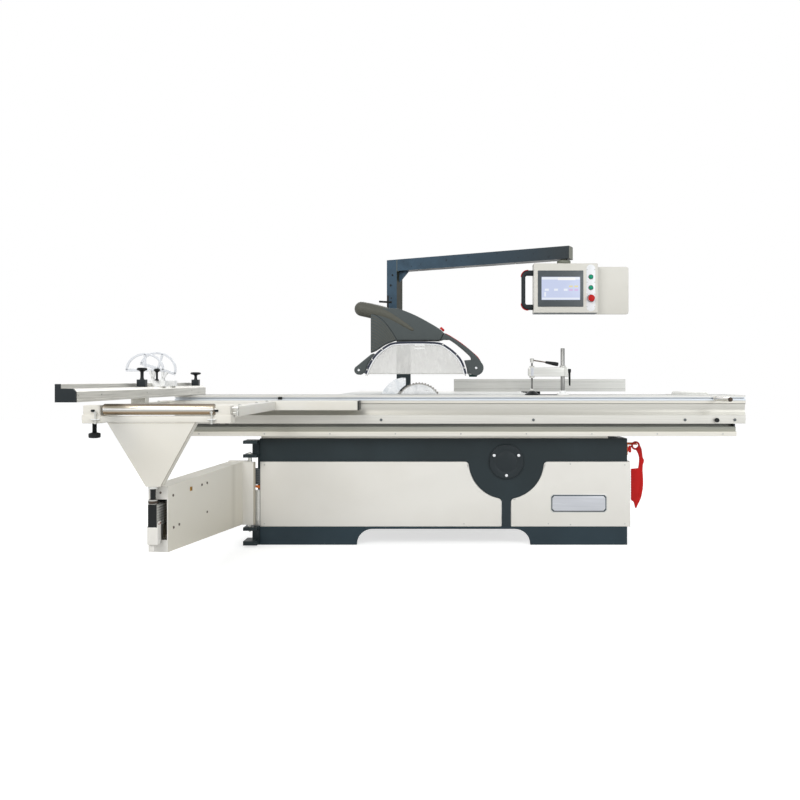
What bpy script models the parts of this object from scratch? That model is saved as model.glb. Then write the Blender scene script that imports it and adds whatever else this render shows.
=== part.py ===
"""Panel saw with a sliding table: every piece at its real size, at rest, in metres.

X runs along the sliding table and Z up from the floor. Inside the script X = 0 is the
saw blade's centre and Y = 0 its plane, with the sliding table at -Y. The empty
machine_origin then carries all pieces, so that the world origin is under the middle
of the whole machine.
"""
import math

import bmesh
import bpy
from mathutils import Euler, Matrix, Vector

GAP = 0.0003                    # clearance between pieces that touch

# Saw blade and tables
TABLE_HEIGHT = 0.870
TABLE_THICKNESS = 0.025
BLADE_RADIUS = 0.150
BLADE_HEIGHT = 0.074            # how far the blade stands above the table
BLADE_THICKNESS = 0.0032
BLADE_BORE = 0.015
BLADE_TEETH = 48
MAIN_LEFT = -0.500
MAIN_LENGTH = 1.220
MAIN_DEPTH = 0.620
SLOT_HALF_WIDTH = 0.016
STRIP_WIDTH = 0.014
STRIP_THICKNESS = 0.008
EXTENSION_DEPTH = 0.7544

# Base
BASE_LEFT = -0.916
BASE_LENGTH = 2.135
BASE_FRONT = -0.345
BASE_DEPTH = 1.100
PLINTH_HEIGHT = 0.1045
PLINTH_WALL = 0.030
ARCH_HEIGHT = 0.092
FOOT_LENGTH = 0.562
BEAM_BOTTOM = 0.484
BEAM_TOP = 0.618
FRAME_TUBE = 0.040
SHEET = 0.004
WELL_X = 0.516
WELL_RADIUS = 0.218
WEB_WIDTH = 0.053
WELL_FILLET = 0.024
COVER_RADIUS = 0.100
SIDE_COVER_DEPTH = 0.019
ISOLATOR_Y = -0.312
HOOK_REACH = 0.0705              # from the beam to the peg of the push stick

# Guide rail and sliding table
RAIL_LEFT = -1.331
RAIL_LENGTH = 3.160
RAIL_FRONT = -0.415
RAIL_DEPTH = 0.200
RAIL_BOTTOM = 0.6365
RAIL_TOP = 0.690
RAIL_LIP = 0.0263
SLIDE_RIGHT = 1.886
SLIDE_LENGTH = 3.280
SLIDE_FRONT = -0.400
SLIDE_BOTTOM = 0.7075
SLIDE_BOX_DEPTH = 0.150
SLIDE_EDGE_CLEARANCE = 0.002
SLOT_TOP = 0.857
SLOT_HEIGHT = 0.0065

# Outrigger in front of the sliding table
OUTRIGGER_LEFT = -1.445
OUTRIGGER_LENGTH = 0.655
OUTRIGGER_FRONT = -1.475
OUTRIGGER_BAR_LENGTH = 1.120
OUTRIGGER_BAR_DEPTH = 0.120
BAR_BOTTOM = 0.788
BAR_TOP = 0.841
BRACKET_TOP = 0.847
BRACKET_BOTTOM = 0.767
NEAR_BEAM_BOTTOM = 0.771
BRACKET_LEFT_WIDTH = 0.082
BRACKET_RIGHT_WIDTH = 0.073
ROLLER_RADIUS = 0.025
ROLLER_CENTRE = 0.828
RIB_WIDTH = 0.050
TRIANGLE_TOP_WIDTH = 0.385
TRIANGLE_TOP_LEFT = -1.333
TRIANGLE_TIP_WIDTH = 0.062
TRIANGLE_BOTTOM = 0.4893
TRIANGLE_DEPTH = 0.060

# Crosscut fence on the sliding table
FENCE_X = -1.336
FENCE_WIDTH = 0.082
FENCE_NEAR = -1.860
FENCE_FAR = -0.130
FENCE_HEIGHT = 0.054
FENCE_RIDGE_HEIGHT = 0.072
FENCE_RIDGE_WIDTH = 0.020
MITRE_PIVOT_Y = -0.227
OUTER_KNOB_Y = -1.083
STOP_PLACES = (("near", -0.830, 0), ("far", -0.680, 17))     # name, Y and how far it is turned back, in degrees
STOP_RADIUS = 0.100
STOP_HEIGHT = 0.088
STOP_HUB_RISE = 0.0080          # from the top of the carriage to the stop's pin
STOP_PIN_INSET = 0.011          # from the fence's left side to the stop's pin
STOP_REACH = 0.0395             # from the pin to the middle of the half-round
STOP_THICKNESS = 0.008

# Hold-down clamp
CLAMP_X = 0.846
CLAMP_Y = -0.330
CLAMP_COLUMN_RADIUS = 0.012
CLAMP_COLUMN_TOP = 1.143
CLAMP_ARM_LEFT = 0.644
CLAMP_ARM_RIGHT = 0.875
CLAMP_ARM_BOTTOM = 0.9785
CLAMP_ARM_TOP = 1.032
CLAMP_ARM_WIDTH = 0.034
SPINDLE_X = 0.667
SPINDLE_RADIUS = 0.006
PAD_RADIUS = 0.041

# Swing arm under the outrigger
ARM_HINGE_X = -0.968
ARM_HINGE_Y = -0.375
ARM_ANGLE = -4.0                # degrees away from straight out
ARM_LENGTH = 1.060
ARM_WIDTH = 0.090
ARM_OFFSET = -0.0835             # middle of the arm beside its hinge pins
HEEL_PLATE_RIGHT = 0.030
ARM_TOP = 0.486
ARM_BOTTOM = 0.1235
ARM_TIP_BOTTOM = 0.1925
INNER_TUBE_WIDTH = 0.040
INNER_TUBE_HEIGHT = 0.100
INNER_TUBE_TOP = 0.413
INNER_TUBE_LENGTH = 1.035
INNER_TUBE_REACH = 0.062
POST_OFFSET = -0.010             # from the middle of the arm
FIRST_TAB = (0.592, 0.610)       # low and high Z of the hinge's tabs, from the top down
SECOND_TAB = (0.513, 0.531)
THIRD_TAB = (0.094, 0.112)
FOURTH_TAB = (0.010, 0.034)

# Saw unit inside the base
TRUNNION_OUTER = 0.200
TRUNNION_INNER = 0.120
TRUNNION_THICKNESS = 0.020
TRUNNION_LEFT = -0.300
TRUNNION_RIGHT = 0.420
CRADLE_Y = 0.060
CRADLE_THICKNESS = 0.020
ARBOR_RADIUS = 0.0145
FLANGE_RADIUS = 0.045
FLANGE_THICKNESS = 0.010
HOUSING_RADIUS = 0.036
HOUSING_LENGTH = 0.225
PULLEY_WIDTH = 0.030
ARBOR_PULLEY_RADIUS = 0.035
MOTOR_PULLEY_RADIUS = 0.045
MOTOR_X = 0.100
MOTOR_Z = 0.570
MOTOR_RADIUS = 0.070
MOTOR_LENGTH = 0.175
BELT_THICKNESS = 0.004
SCORING_RADIUS = 0.060
SCORING_X = 0.235
SCORING_HEIGHT = 0.002          # how far the scoring blade stands above the table
SCORING_MOTOR_RADIUS = 0.028

# Overhead guard
HOOD_WIDTH = 0.100
HOOD_WALL = 0.003
SHIELD_BOTTOM = 0.998
BUTTON_EDGE = ((0.157, 1.250), (0.119, 1.285))      # the sloping edge that the button sits in
HOOD_BUTTON_RADIUS = 0.010
BUTTON_GAP = 0.004              # under the button's head, for its travel of 3 mm
BOOM_PIVOT_X = -0.270
BOOM_PIVOT_Y = 1.190
BOOM_SIZE = 0.060

# Column, pendant arm and pendant
COLUMN_X = -0.157
COLUMN_FRONT = 1.375
COLUMN_SIZE = 0.110
COLUMN_TOP = 1.400
COLUMN_HEAD = 0.050
COLUMN_WALL = 0.006
MAST_X = -0.223
MAST_Y = 1.300
ARM_TUBE = 0.090
ARM_TUBE_WALL = 0.004
ARM_TUBE_TOP = 1.900
PENDANT_ARM_ANGLE = -27.3       # degrees, turned towards the operator
PENDANT_ARM_REACH = 1.440
SWIVEL_REACH = 1.388
PENDANT_LEFT = 0.794
PENDANT_WIDTH = 0.450
PENDANT_FRONT = 0.620
PENDANT_DEPTH = 0.100
PENDANT_BOTTOM = 1.431
PENDANT_TOP = 1.779
SIDE_PLATE_RIGHT = 1.479
BUTTON_X = 1.194
BUTTON_RADIUS = 0.012
STOP_BUTTON_RADIUS = 0.020
STOP_STEM_RADIUS = 0.012

# Rip fence
RIP_LEFT = 0.239
RIP_LENGTH = 1.286
RIP_FACE_Y = 0.990
RIP_THICKNESS = 0.045
RIP_HEIGHT = 0.093
RIP_CLEARANCE = 0.002
GUIDE_BAR_X = 0.820
GUIDE_BAR_Z = 0.800
GUIDE_BAR_RADIUS = 0.020
CARRIAGE_WIDTH = 0.120
CARRIAGE_DEPTH = 0.125

# Values that follow from those above
SLIDE_LEFT = SLIDE_RIGHT - SLIDE_LENGTH
SLIDE_BACK = -SLOT_HALF_WIDTH - STRIP_WIDTH - SLIDE_EDGE_CLEARANCE
BLADE_Z = TABLE_HEIGHT + BLADE_HEIGHT - BLADE_RADIUS
TABLE_UNDERSIDE = TABLE_HEIGHT - TABLE_THICKNESS
BASE_RIGHT = BASE_LEFT + BASE_LENGTH
BASE_BACK = BASE_FRONT + BASE_DEPTH
ON_TABLE = TABLE_HEIGHT + GAP
COLUMN_BACK = COLUMN_FRONT + COLUMN_SIZE
STOP_HUB_X = FENCE_X - FENCE_WIDTH / 2 + STOP_PIN_INSET
STOP_LEFT = STOP_HUB_X - STOP_REACH - STOP_RADIUS
ARM_PIVOT_Y = -(ARM_LENGTH + INNER_TUBE_REACH - 0.030)
SCORING_Z = TABLE_HEIGHT + SCORING_HEIGHT - SCORING_RADIUS
BUTTON_OUT = Vector((BUTTON_EDGE[1][1] - BUTTON_EDGE[0][1], 0, BUTTON_EDGE[0][0] - BUTTON_EDGE[1][0])).normalized()
BUTTON_SEAT = Vector(((BUTTON_EDGE[0][0] + BUTTON_EDGE[1][0]) / 2, 0, (BUTTON_EDGE[0][1] + BUTTON_EDGE[1][1]) / 2))
SWIVEL_X = MAST_X + SWIVEL_REACH * math.cos(math.radians(PENDANT_ARM_ANGLE))
SWIVEL_Y = MAST_Y + SWIVEL_REACH * math.sin(math.radians(PENDANT_ARM_ANGLE))

for leftover in list(bpy.data.objects):
    bpy.data.objects.remove(leftover, do_unlink=True)

parts = bpy.data.collections.new("panel_saw")
cutters = bpy.data.collections.new("cutters")
bpy.context.scene.collection.children.link(parts)
bpy.context.scene.collection.children.link(cutters)


def pivot_empty(name, place, turn=0.0, parent=None):
    """An empty on an axis that pieces hang from; turn is in degrees about Z."""
    empty = bpy.data.objects.new(name, None)
    empty.empty_display_size = 0.1
    empty.location = place
    empty.rotation_euler = (0, 0, math.radians(turn))
    empty.parent = parent
    parts.objects.link(empty)
    return empty


machine = pivot_empty("machine_origin", (
    -(STOP_LEFT + SLIDE_RIGHT) / 2, -(FENCE_NEAR + COLUMN_BACK) / 2, 0))


def finish_material(name, colour, metallic, roughness):
    material = bpy.data.materials.new(name)
    material.use_nodes = True
    shader = material.node_tree.nodes["Principled BSDF"]
    shader.inputs["Base Color"].default_value = (*colour, 1)
    shader.inputs["Metallic"].default_value = metallic
    shader.inputs["Roughness"].default_value = roughness
    material.diffuse_color = (*colour, 1)
    return material


BEIGE = ((0.72, 0.70, 0.65), 0.0, 0.45)
DARK_BLUE = ((0.035, 0.047, 0.055), 0.0, 0.45)
ALUMINIUM = ((0.62, 0.63, 0.64), 0.8, 0.4)
STEEL = ((0.45, 0.46, 0.47), 0.9, 0.35)
CHROME = ((0.80, 0.80, 0.80), 1.0, 0.1)
CAST_IRON = ((0.30, 0.31, 0.32), 0.7, 0.5)
BLACK = ((0.012, 0.014, 0.015), 0.0, 0.4)
HOOD_GREY = ((0.09, 0.10, 0.095), 0.0, 0.5)
POST_BLUE = ((0.08, 0.12, 0.15), 0.0, 0.45)
CLEAR = ((0.80, 0.82, 0.84), 0.0, 0.1)
RED = ((0.55, 0.01, 0.01), 0.0, 0.35)
GREEN = ((0.01, 0.35, 0.20), 0.0, 0.35)
ORANGE = ((0.75, 0.25, 0.02), 0.0, 0.4)
RUBBER = ((0.02, 0.02, 0.02), 0.0, 0.7)

AXIS_TURN = {
    "X": Euler((0, math.radians(90), 0)).to_matrix().to_4x4(),
    "Y": Euler((math.radians(-90), 0, 0)).to_matrix().to_4x4(),
    "Z": Matrix.Identity(4),
}
# A flat outline is drawn as (x, z) for plane XZ, (y, z) for YZ and (x, y) for XY.
PLANE_TURN = {
    "XZ": Euler((math.radians(90), 0, 0)).to_matrix().to_4x4(),
    "YZ": Euler((math.radians(90), 0, math.radians(90))).to_matrix().to_4x4(),
    "XY": Matrix.Identity(4),
}
PLANE_NORMAL = {"XZ": Vector((0, 1, 0)), "YZ": Vector((1, 0, 0)), "XY": Vector((0, 0, 1))}


def mesh_from(shape, name="shape"):
    mesh = bpy.data.meshes.new(name)
    shape.to_mesh(mesh)
    shape.free()
    return mesh


def box_mesh(low, high):
    shape = bmesh.new()
    bmesh.ops.create_cube(shape, size=1)
    low = Vector(low)
    high = Vector(high)
    bmesh.ops.scale(shape, vec=high - low, verts=shape.verts)
    bmesh.ops.translate(shape, vec=(low + high) / 2, verts=shape.verts)
    return mesh_from(shape)


def rod_mesh(start, end, radius, end_radius=None, sides=24):
    """A cylinder or cone from one point to another."""
    start = Vector(start)
    end = Vector(end)
    along = end - start
    shape = bmesh.new()
    bmesh.ops.create_cone(
        shape, cap_ends=True, segments=sides, radius1=radius,
        radius2=radius if end_radius is None else end_radius, depth=along.length)
    turn = along.to_track_quat("Z", "Y").to_matrix().to_4x4()
    bmesh.ops.transform(
        shape, matrix=Matrix.Translation((start + end) / 2) @ turn, verts=shape.verts)
    mesh = mesh_from(shape)
    mesh.shade_smooth()
    mesh.set_sharp_from_angle(angle=math.radians(35))
    return mesh


def mesh_of_curve(guide):
    """The closed mesh of a curve object, which is then removed."""
    cutters.objects.link(guide)
    graph = bpy.context.evaluated_depsgraph_get()
    mesh = bpy.data.meshes.new_from_object(guide.evaluated_get(graph))
    bpy.data.objects.remove(guide)
    shape = bmesh.new()
    shape.from_mesh(mesh)
    bmesh.ops.remove_doubles(shape, verts=shape.verts, dist=0.00001)
    shape.to_mesh(mesh)
    shape.free()
    mesh.materials.clear()
    return mesh


def plate_mesh(outlines, plane, low, high):
    """A flat outline, with any further outlines as holes, from low to high across its plane."""
    drawing = bpy.data.curves.new("outline", "CURVE")
    drawing.dimensions = "2D"
    drawing.fill_mode = "BOTH"
    drawing.extrude = (high - low) / 2
    for outline in outlines:
        spline = drawing.splines.new("POLY")
        spline.points.add(len(outline) - 1)
        for point, (u, v) in zip(spline.points, outline):
            point.co = (u, v, 0, 1)
        spline.use_cyclic_u = True
    mesh = mesh_of_curve(bpy.data.objects.new("outline", drawing))
    mesh.transform(PLANE_TURN[plane])
    mesh.transform(Matrix.Translation(PLANE_NORMAL[plane] * (low + high) / 2))
    return mesh


def tube_mesh(points, radius, resolution=2):
    """A round bar along a list of points."""
    route = bpy.data.curves.new("route", "CURVE")
    route.dimensions = "3D"
    route.bevel_depth = radius
    route.bevel_resolution = resolution
    route.use_fill_caps = True
    spline = route.splines.new("POLY")
    spline.points.add(len(points) - 1)
    for point, place in zip(spline.points, points):
        point.co = (*place, 1)
    mesh = mesh_of_curve(bpy.data.objects.new("route", route))
    mesh.shade_smooth()
    mesh.set_sharp_from_angle(angle=math.radians(40))
    return mesh


def arc(centre, radius, start, end, steps):
    """Points on a circle, from one angle to the other in degrees."""
    angles = [math.radians(start + (end - start) * i / steps) for i in range(steps + 1)]
    return [(centre[0] + radius * math.cos(a), centre[1] + radius * math.sin(a)) for a in angles]


def half_round(centre, reach, height, start, end, steps):
    """Part of an ellipse, as wide as reach each way and as tall as height."""
    return [(x, centre[1] + (z - centre[1]) * height / reach) for x, z in arc(centre, reach, start, end, steps)]


def circle(centre, radius, sides=24):
    return arc(centre, radius, 0, 360 - 360 / sides, sides - 1)


def rectangle(low, high):
    return [low, (high[0], low[1]), high, (low[0], high[1])]


def add(name, mesh, finish, pivot=(0, 0, 0), parent=None):
    """A piece of the machine, whose mesh is in the parent's space and whose origin is at pivot."""
    mesh.transform(Matrix.Translation(-Vector(pivot)))
    mesh.materials.append(finish_material(name + "_finish", *finish))
    piece = bpy.data.objects.new(name, mesh)
    piece.location = pivot
    piece.parent = parent or machine
    parts.objects.link(piece)
    return piece


def add_turned(name, profile, axis, place, finish, parent=None, sides=24):
    """A turned piece: its profile is (radius, distance along the axis from place), far end first."""
    shape = bmesh.new()
    points = [shape.verts.new((radius, 0, along)) for radius, along in profile]
    for first, second in zip(points, points[1:]):
        shape.edges.new((first, second))
    piece = add(name, mesh_from(shape), finish, parent=parent)
    piece.location = place
    piece.rotation_euler = AXIS_TURN[axis].to_euler()
    screw = piece.modifiers.new("turn", "SCREW")
    screw.steps = sides
    screw.render_steps = sides
    screw.use_merge_vertices = True
    screw.merge_threshold = 0.0001
    return piece


def tool(piece, mesh, operation):
    """Joins a mesh to a piece, or cuts it away, with a hidden helper in the piece's parent space."""
    helper = bpy.data.objects.new(f"{piece.name}_{operation.lower()}_{len(piece.modifiers)}", mesh)
    helper.parent = piece.parent
    helper.hide_render = True
    helper.display_type = "WIRE"
    cutters.objects.link(helper)
    change = piece.modifiers.new(helper.name, "BOOLEAN")
    change.operation = operation
    change.object = helper


def join(piece, *meshes):
    for mesh in meshes:
        tool(piece, mesh, "UNION")


def cut(piece, *meshes):
    for mesh in meshes:
        tool(piece, mesh, "DIFFERENCE")


# ---- Base ----

def base_plinth():
    """A ring of sheet steel on two feet, with an arch with round corners between them."""
    low = (BASE_LEFT, BASE_FRONT, 0)
    high = (BASE_RIGHT, BASE_BACK, PLINTH_HEIGHT)
    plinth = add("base_plinth", box_mesh(low, high), DARK_BLUE)
    inner_low = (BASE_LEFT + PLINTH_WALL, BASE_FRONT + PLINTH_WALL, -0.01)
    inner_high = (BASE_RIGHT - PLINTH_WALL, BASE_BACK - PLINTH_WALL, PLINTH_HEIGHT + 0.01)
    cut(plinth, box_mesh(inner_low, inner_high))
    left = BASE_LEFT + FOOT_LENGTH
    right = BASE_RIGHT - FOOT_LENGTH
    arch = [(left, -0.01), (right, -0.01)]
    arch += arc((right - ARCH_HEIGHT, 0), ARCH_HEIGHT, 0, 90, 8)
    arch += arc((left + ARCH_HEIGHT, 0), ARCH_HEIGHT, 90, 180, 8)
    cut(plinth, plate_mesh([arch], "XZ", BASE_FRONT - 0.01, BASE_BACK + 0.01))


def web_edge(offset, bottom):
    """Left edge of the web, from the beam down to the bottom, moved outwards by offset, with rounded corners.

    It follows the circle round the cover, with a fillet above it to the beam and one below it to the stripe.
    """
    radius = WELL_RADIUS
    fillet = WELL_FILLET
    upper = (WELL_X - math.sqrt((radius + fillet) ** 2 - fillet ** 2), BEAM_BOTTOM - fillet)
    lower_x = WELL_X - WEB_WIDTH / 2 - fillet
    lower = (lower_x, BEAM_BOTTOM - math.sqrt((radius + fillet) ** 2 - (WELL_X - lower_x) ** 2))
    start = math.degrees(math.atan2(upper[1] - BEAM_BOTTOM, upper[0] - WELL_X)) + 360
    end = math.degrees(math.atan2(lower[1] - BEAM_BOTTOM, lower[0] - WELL_X)) + 360
    edge = arc(upper, fillet - offset, 90, start - 180, 6)
    edge += arc((WELL_X, BEAM_BOTTOM), radius + offset, start, end, 14)
    edge += arc(lower, fillet - offset, end - 180, 0, 6)
    return edge + [(WELL_X - WEB_WIDTH / 2 - offset, bottom)]


def mirrored(points):
    """The same points on the other side of the web's middle, in reverse order."""
    return [(2 * WELL_X - x, z) for x, z in reversed(points)]


def top_frame():
    """The beam ring, its cross members, four corner posts and the dark round web in front."""
    low = (BASE_LEFT, BASE_FRONT, BEAM_BOTTOM)
    high = (BASE_RIGHT, BASE_BACK, BEAM_TOP)
    frame = add("top_frame", box_mesh(low, high), DARK_BLUE)
    inner_low = (BASE_LEFT + FRAME_TUBE, BASE_FRONT + FRAME_TUBE, BEAM_BOTTOM - 0.01)
    inner_high = (BASE_RIGHT - FRAME_TUBE, BASE_BACK - FRAME_TUBE, BEAM_TOP + 0.01)
    cut(frame, box_mesh(inner_low, inner_high))
    for centre in (MAIN_LEFT + 0.050, MAIN_LEFT + MAIN_LENGTH - 0.050):
        join(frame, box_mesh(
            (centre - FRAME_TUBE, BASE_FRONT + 0.010, BEAM_TOP - 0.050),
            (centre + FRAME_TUBE, BASE_BACK - 0.010, BEAM_TOP)))
    inset = SHEET + GAP
    foot = PLINTH_HEIGHT + GAP
    for x in (BASE_LEFT + inset, BASE_RIGHT - inset - FRAME_TUBE):
        for y in (BASE_FRONT + inset, BASE_BACK - inset - FRAME_TUBE):
            join(frame, box_mesh((x, y, foot), (x + FRAME_TUBE, y + FRAME_TUBE, BEAM_BOTTOM + 0.02)))
    left = web_edge(0, foot)
    left.insert(0, (left[0][0], BEAM_BOTTOM + 0.02))
    join(frame, plate_mesh([left + mirrored(left)], "XZ", BASE_FRONT, BASE_FRONT + SHEET))
    join(frame, box_mesh(
        (WELL_X - FRAME_TUBE / 2, BASE_FRONT + SHEET / 2, foot),
        (WELL_X + FRAME_TUBE / 2, BASE_FRONT + FRAME_TUBE, BEAM_BOTTOM + 0.02)))


def well_cover():
    """The round cover over the tilt drive, standing proud of the web."""
    depth = 0.012
    edge = 0.003
    profile = [(0, depth), (COVER_RADIUS, depth), (COVER_RADIUS, edge), (COVER_RADIUS - edge, 0), (0, 0)]
    add_turned("well_cover", profile, "Y", (WELL_X, BASE_FRONT - GAP - depth, BEAM_BOTTOM),
               DARK_BLUE, sides=40)


def front_panels():
    """Two sheets under the beam. The right one wraps round the corner as a shallow cover."""
    bottom = PLINTH_HEIGHT + GAP
    top = BEAM_BOTTOM - GAP
    edge = web_edge(GAP, bottom)
    left = edge + [(BASE_LEFT, bottom), (BASE_LEFT, top)]
    add("front_panel_left", plate_mesh([left], "XZ", BASE_FRONT, BASE_FRONT + SHEET), BEIGE)
    outer = BASE_RIGHT + SIDE_COVER_DEPTH
    right = mirrored(edge) + [(outer, top), (outer, bottom)]
    panel = add("front_panel_right",
                plate_mesh([right], "XZ", BASE_FRONT, BASE_FRONT + SHEET), BEIGE)
    back = BASE_BACK - SHEET
    inset = 0.0005
    side = [(outer - inset, BASE_FRONT + SHEET / 2), (outer - inset, back), (BASE_RIGHT + GAP, back),
            (BASE_RIGHT + GAP, back - SHEET), (outer - SHEET, back - SHEET),
            (outer - SHEET, BASE_FRONT + SHEET / 2)]
    join(panel, plate_mesh([side], "XY", bottom + inset, top - inset))


def rear_cover():
    """Left side and back sheet in one folded piece."""
    outline = [
        (BASE_LEFT, BASE_FRONT + SHEET + GAP),
        (BASE_LEFT + SHEET, BASE_FRONT + SHEET + GAP),
        (BASE_LEFT + SHEET, BASE_BACK - SHEET),
        (BASE_RIGHT, BASE_BACK - SHEET),
        (BASE_RIGHT, BASE_BACK),
        (BASE_LEFT, BASE_BACK),
    ]
    bottom = PLINTH_HEIGHT + GAP
    add("rear_cover", plate_mesh([outline], "XY", bottom, BEAM_BOTTOM - GAP), BEIGE)


def side_bracket():
    """Isolator plate on the beam's right side, with the hook that holds the push stick."""
    x = BASE_RIGHT + GAP
    plate = add("side_bracket", box_mesh((x, -0.330, 0.522), (x + 0.006, -0.200, 0.586)), ORANGE)
    join(plate, box_mesh((x, -0.232, 0.572), (x + HOOK_REACH + 0.009, -0.222, 0.586)))
    join(plate, rod_mesh((x + HOOK_REACH, -0.227, 0.579), (x + HOOK_REACH, -0.275, 0.579), 0.005, sides=12))


def isolator_knob():
    x = BASE_RIGHT + 2 * GAP + 0.006
    profile = [(0, 0.022), (0.010, 0.022), (0.012, 0.019), (0.012, 0.006), (0.018, 0.004), (0.018, 0), (0, 0)]
    knob = add_turned("isolator_knob", profile, "X", (x, ISOLATOR_Y, 0.554), RED)
    join(knob, box_mesh((x + 0.010, ISOLATOR_Y - 0.004, 0.534), (x + 0.024, ISOLATOR_Y + 0.004, 0.574)))


def push_stick():
    """Red hooked stick on its peg: a ring, a curved handle and a notched shoe."""
    ring = (BASE_RIGHT + GAP + HOOK_REACH, 0.5705)
    handle = [(0.004, -0.020), (0.020, -0.060), (0.017, -0.134), (-0.028, -0.138), (-0.028, -0.321)]
    shoe = [(-0.011, -0.335), (0, -0.373), (0.014, -0.349), (0.034, -0.307), (0.045, -0.230)]
    back = [(0.042, -0.146), (0.050, -0.089), (0.040, -0.062), (0.034, -0.012)]
    outline = [(ring[0] + x, ring[1] + z) for x, z in handle + shoe + back]
    front = -0.262
    stick = add("push_stick", plate_mesh([outline], "XZ", front, front + 0.012), RED)
    join(stick, rod_mesh((ring[0], front, ring[1]), (ring[0], front + 0.012, ring[1]), 0.027, sides=28))
    cut(stick, rod_mesh((ring[0], front - 0.01, ring[1] - 0.002),
                        (ring[0], front + 0.03, ring[1] - 0.002), 0.0158, sides=20))


# ---- Guide rail and sliding table ----

def guide_rail():
    """Hollow steel rail with a front lip, a raised running track and the foot on the beam."""
    back = RAIL_FRONT + RAIL_DEPTH
    step = RAIL_FRONT + 0.015
    lip = RAIL_BOTTOM + RAIL_LIP
    track = SLIDE_BOTTOM - GAP
    outline = [
        (RAIL_FRONT, RAIL_BOTTOM), (RAIL_FRONT, lip), (step, lip), (step, RAIL_TOP),
        (step + 0.040, RAIL_TOP), (step + 0.040, track), (back - 0.065, track),
        (back - 0.065, RAIL_TOP), (back, RAIL_TOP), (back, RAIL_BOTTOM),
    ]
    hollow = rectangle((step + 0.012, RAIL_BOTTOM + 0.009), (back - 0.015, RAIL_TOP - 0.010))
    rail = add("guide_rail",
               plate_mesh([outline, hollow], "YZ", RAIL_LEFT, RAIL_LEFT + RAIL_LENGTH), ALUMINIUM)
    join(rail, box_mesh((BASE_LEFT + 0.005, BASE_FRONT + 0.010, BEAM_TOP + GAP),
                        (BASE_RIGHT - 0.110, back - 0.020, RAIL_BOTTOM + 0.004)))


def sliding_table():
    """Hollow aluminium profile: T-slots, a hollowed front face and a thin overhang at the blade."""
    front = SLIDE_FRONT
    box_back = front + SLIDE_BOX_DEPTH
    slot_bottom = SLOT_TOP - SLOT_HEIGHT
    outline = [(front, SLIDE_BOTTOM), (front, 0.756), (front + 0.003, 0.758)]
    outline += [(front + 0.003 + 0.009 * math.sin(math.pi * i / 8), 0.760 + 0.060 * i / 8)
                for i in range(1, 8)]
    outline += [(front + 0.003, 0.820), (front, 0.8215), (front, 0.8225), (front + 0.004, 0.8225),
                (front + 0.004, 0.825), (front, 0.825), (front, 0.837), (front + 0.002, 0.8383),
                (front, 0.8396)]
    outline += [(front, slot_bottom), (front + 0.008, slot_bottom), (front + 0.008, slot_bottom - 0.004),
                (front + 0.016, slot_bottom - 0.004), (front + 0.016, SLOT_TOP + 0.004),
                (front + 0.008, SLOT_TOP + 0.004), (front + 0.008, SLOT_TOP), (front, SLOT_TOP)]
    outline += [(front, TABLE_HEIGHT - 0.0015), (front + 0.0015, TABLE_HEIGHT)]
    outline += [(CLAMP_Y - 0.006, TABLE_HEIGHT), (CLAMP_Y - 0.006, TABLE_HEIGHT - 0.012),
                (CLAMP_Y + 0.006, TABLE_HEIGHT - 0.012), (CLAMP_Y + 0.006, TABLE_HEIGHT)]
    chamfer = TABLE_THICKNESS - STRIP_THICKNESS
    outline += [(SLIDE_BACK, TABLE_HEIGHT), (SLIDE_BACK, TABLE_HEIGHT - STRIP_THICKNESS),
                (SLIDE_BACK - chamfer, TABLE_UNDERSIDE), (box_back, TABLE_UNDERSIDE),
                (box_back, SLIDE_BOTTOM)]
    chamber = rectangle((front + 0.020, SLIDE_BOTTOM + 0.008), (box_back - 0.008, 0.812))
    top_chamber = rectangle((CLAMP_Y + 0.030, TABLE_UNDERSIDE + 0.007), (SLIDE_BACK - 0.028, TABLE_HEIGHT - 0.007))
    add("sliding_table",
        plate_mesh([outline, chamber, top_chamber], "YZ", SLIDE_LEFT, SLIDE_RIGHT), ALUMINIUM)


def push_handle():
    y = SLIDE_FRONT - GAP
    handle = add("push_handle", rod_mesh((1.713, y, 0.8517), (1.713, y - 0.012, 0.8517), 0.016), BLACK)
    join(handle, rod_mesh((1.713, y - 0.010, 0.8517), (1.713, y - 0.235, 0.8517), 0.013))
    join(handle, rod_mesh((1.713, y - 0.233, 0.8517), (1.713, y - 0.241, 0.8517), 0.0145))


def table_lock_knob():
    profile = [(0, 0), (0.007, 0), (0.007, -0.006), (0.0125, -0.008), (0.0125, -0.019), (0.0105, -0.021), (0, -0.021)]
    add_turned("table_lock_knob", profile, "Y", (1.717, SLIDE_FRONT - GAP, 0.728), BLACK)


# ---- Outrigger ----

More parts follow.
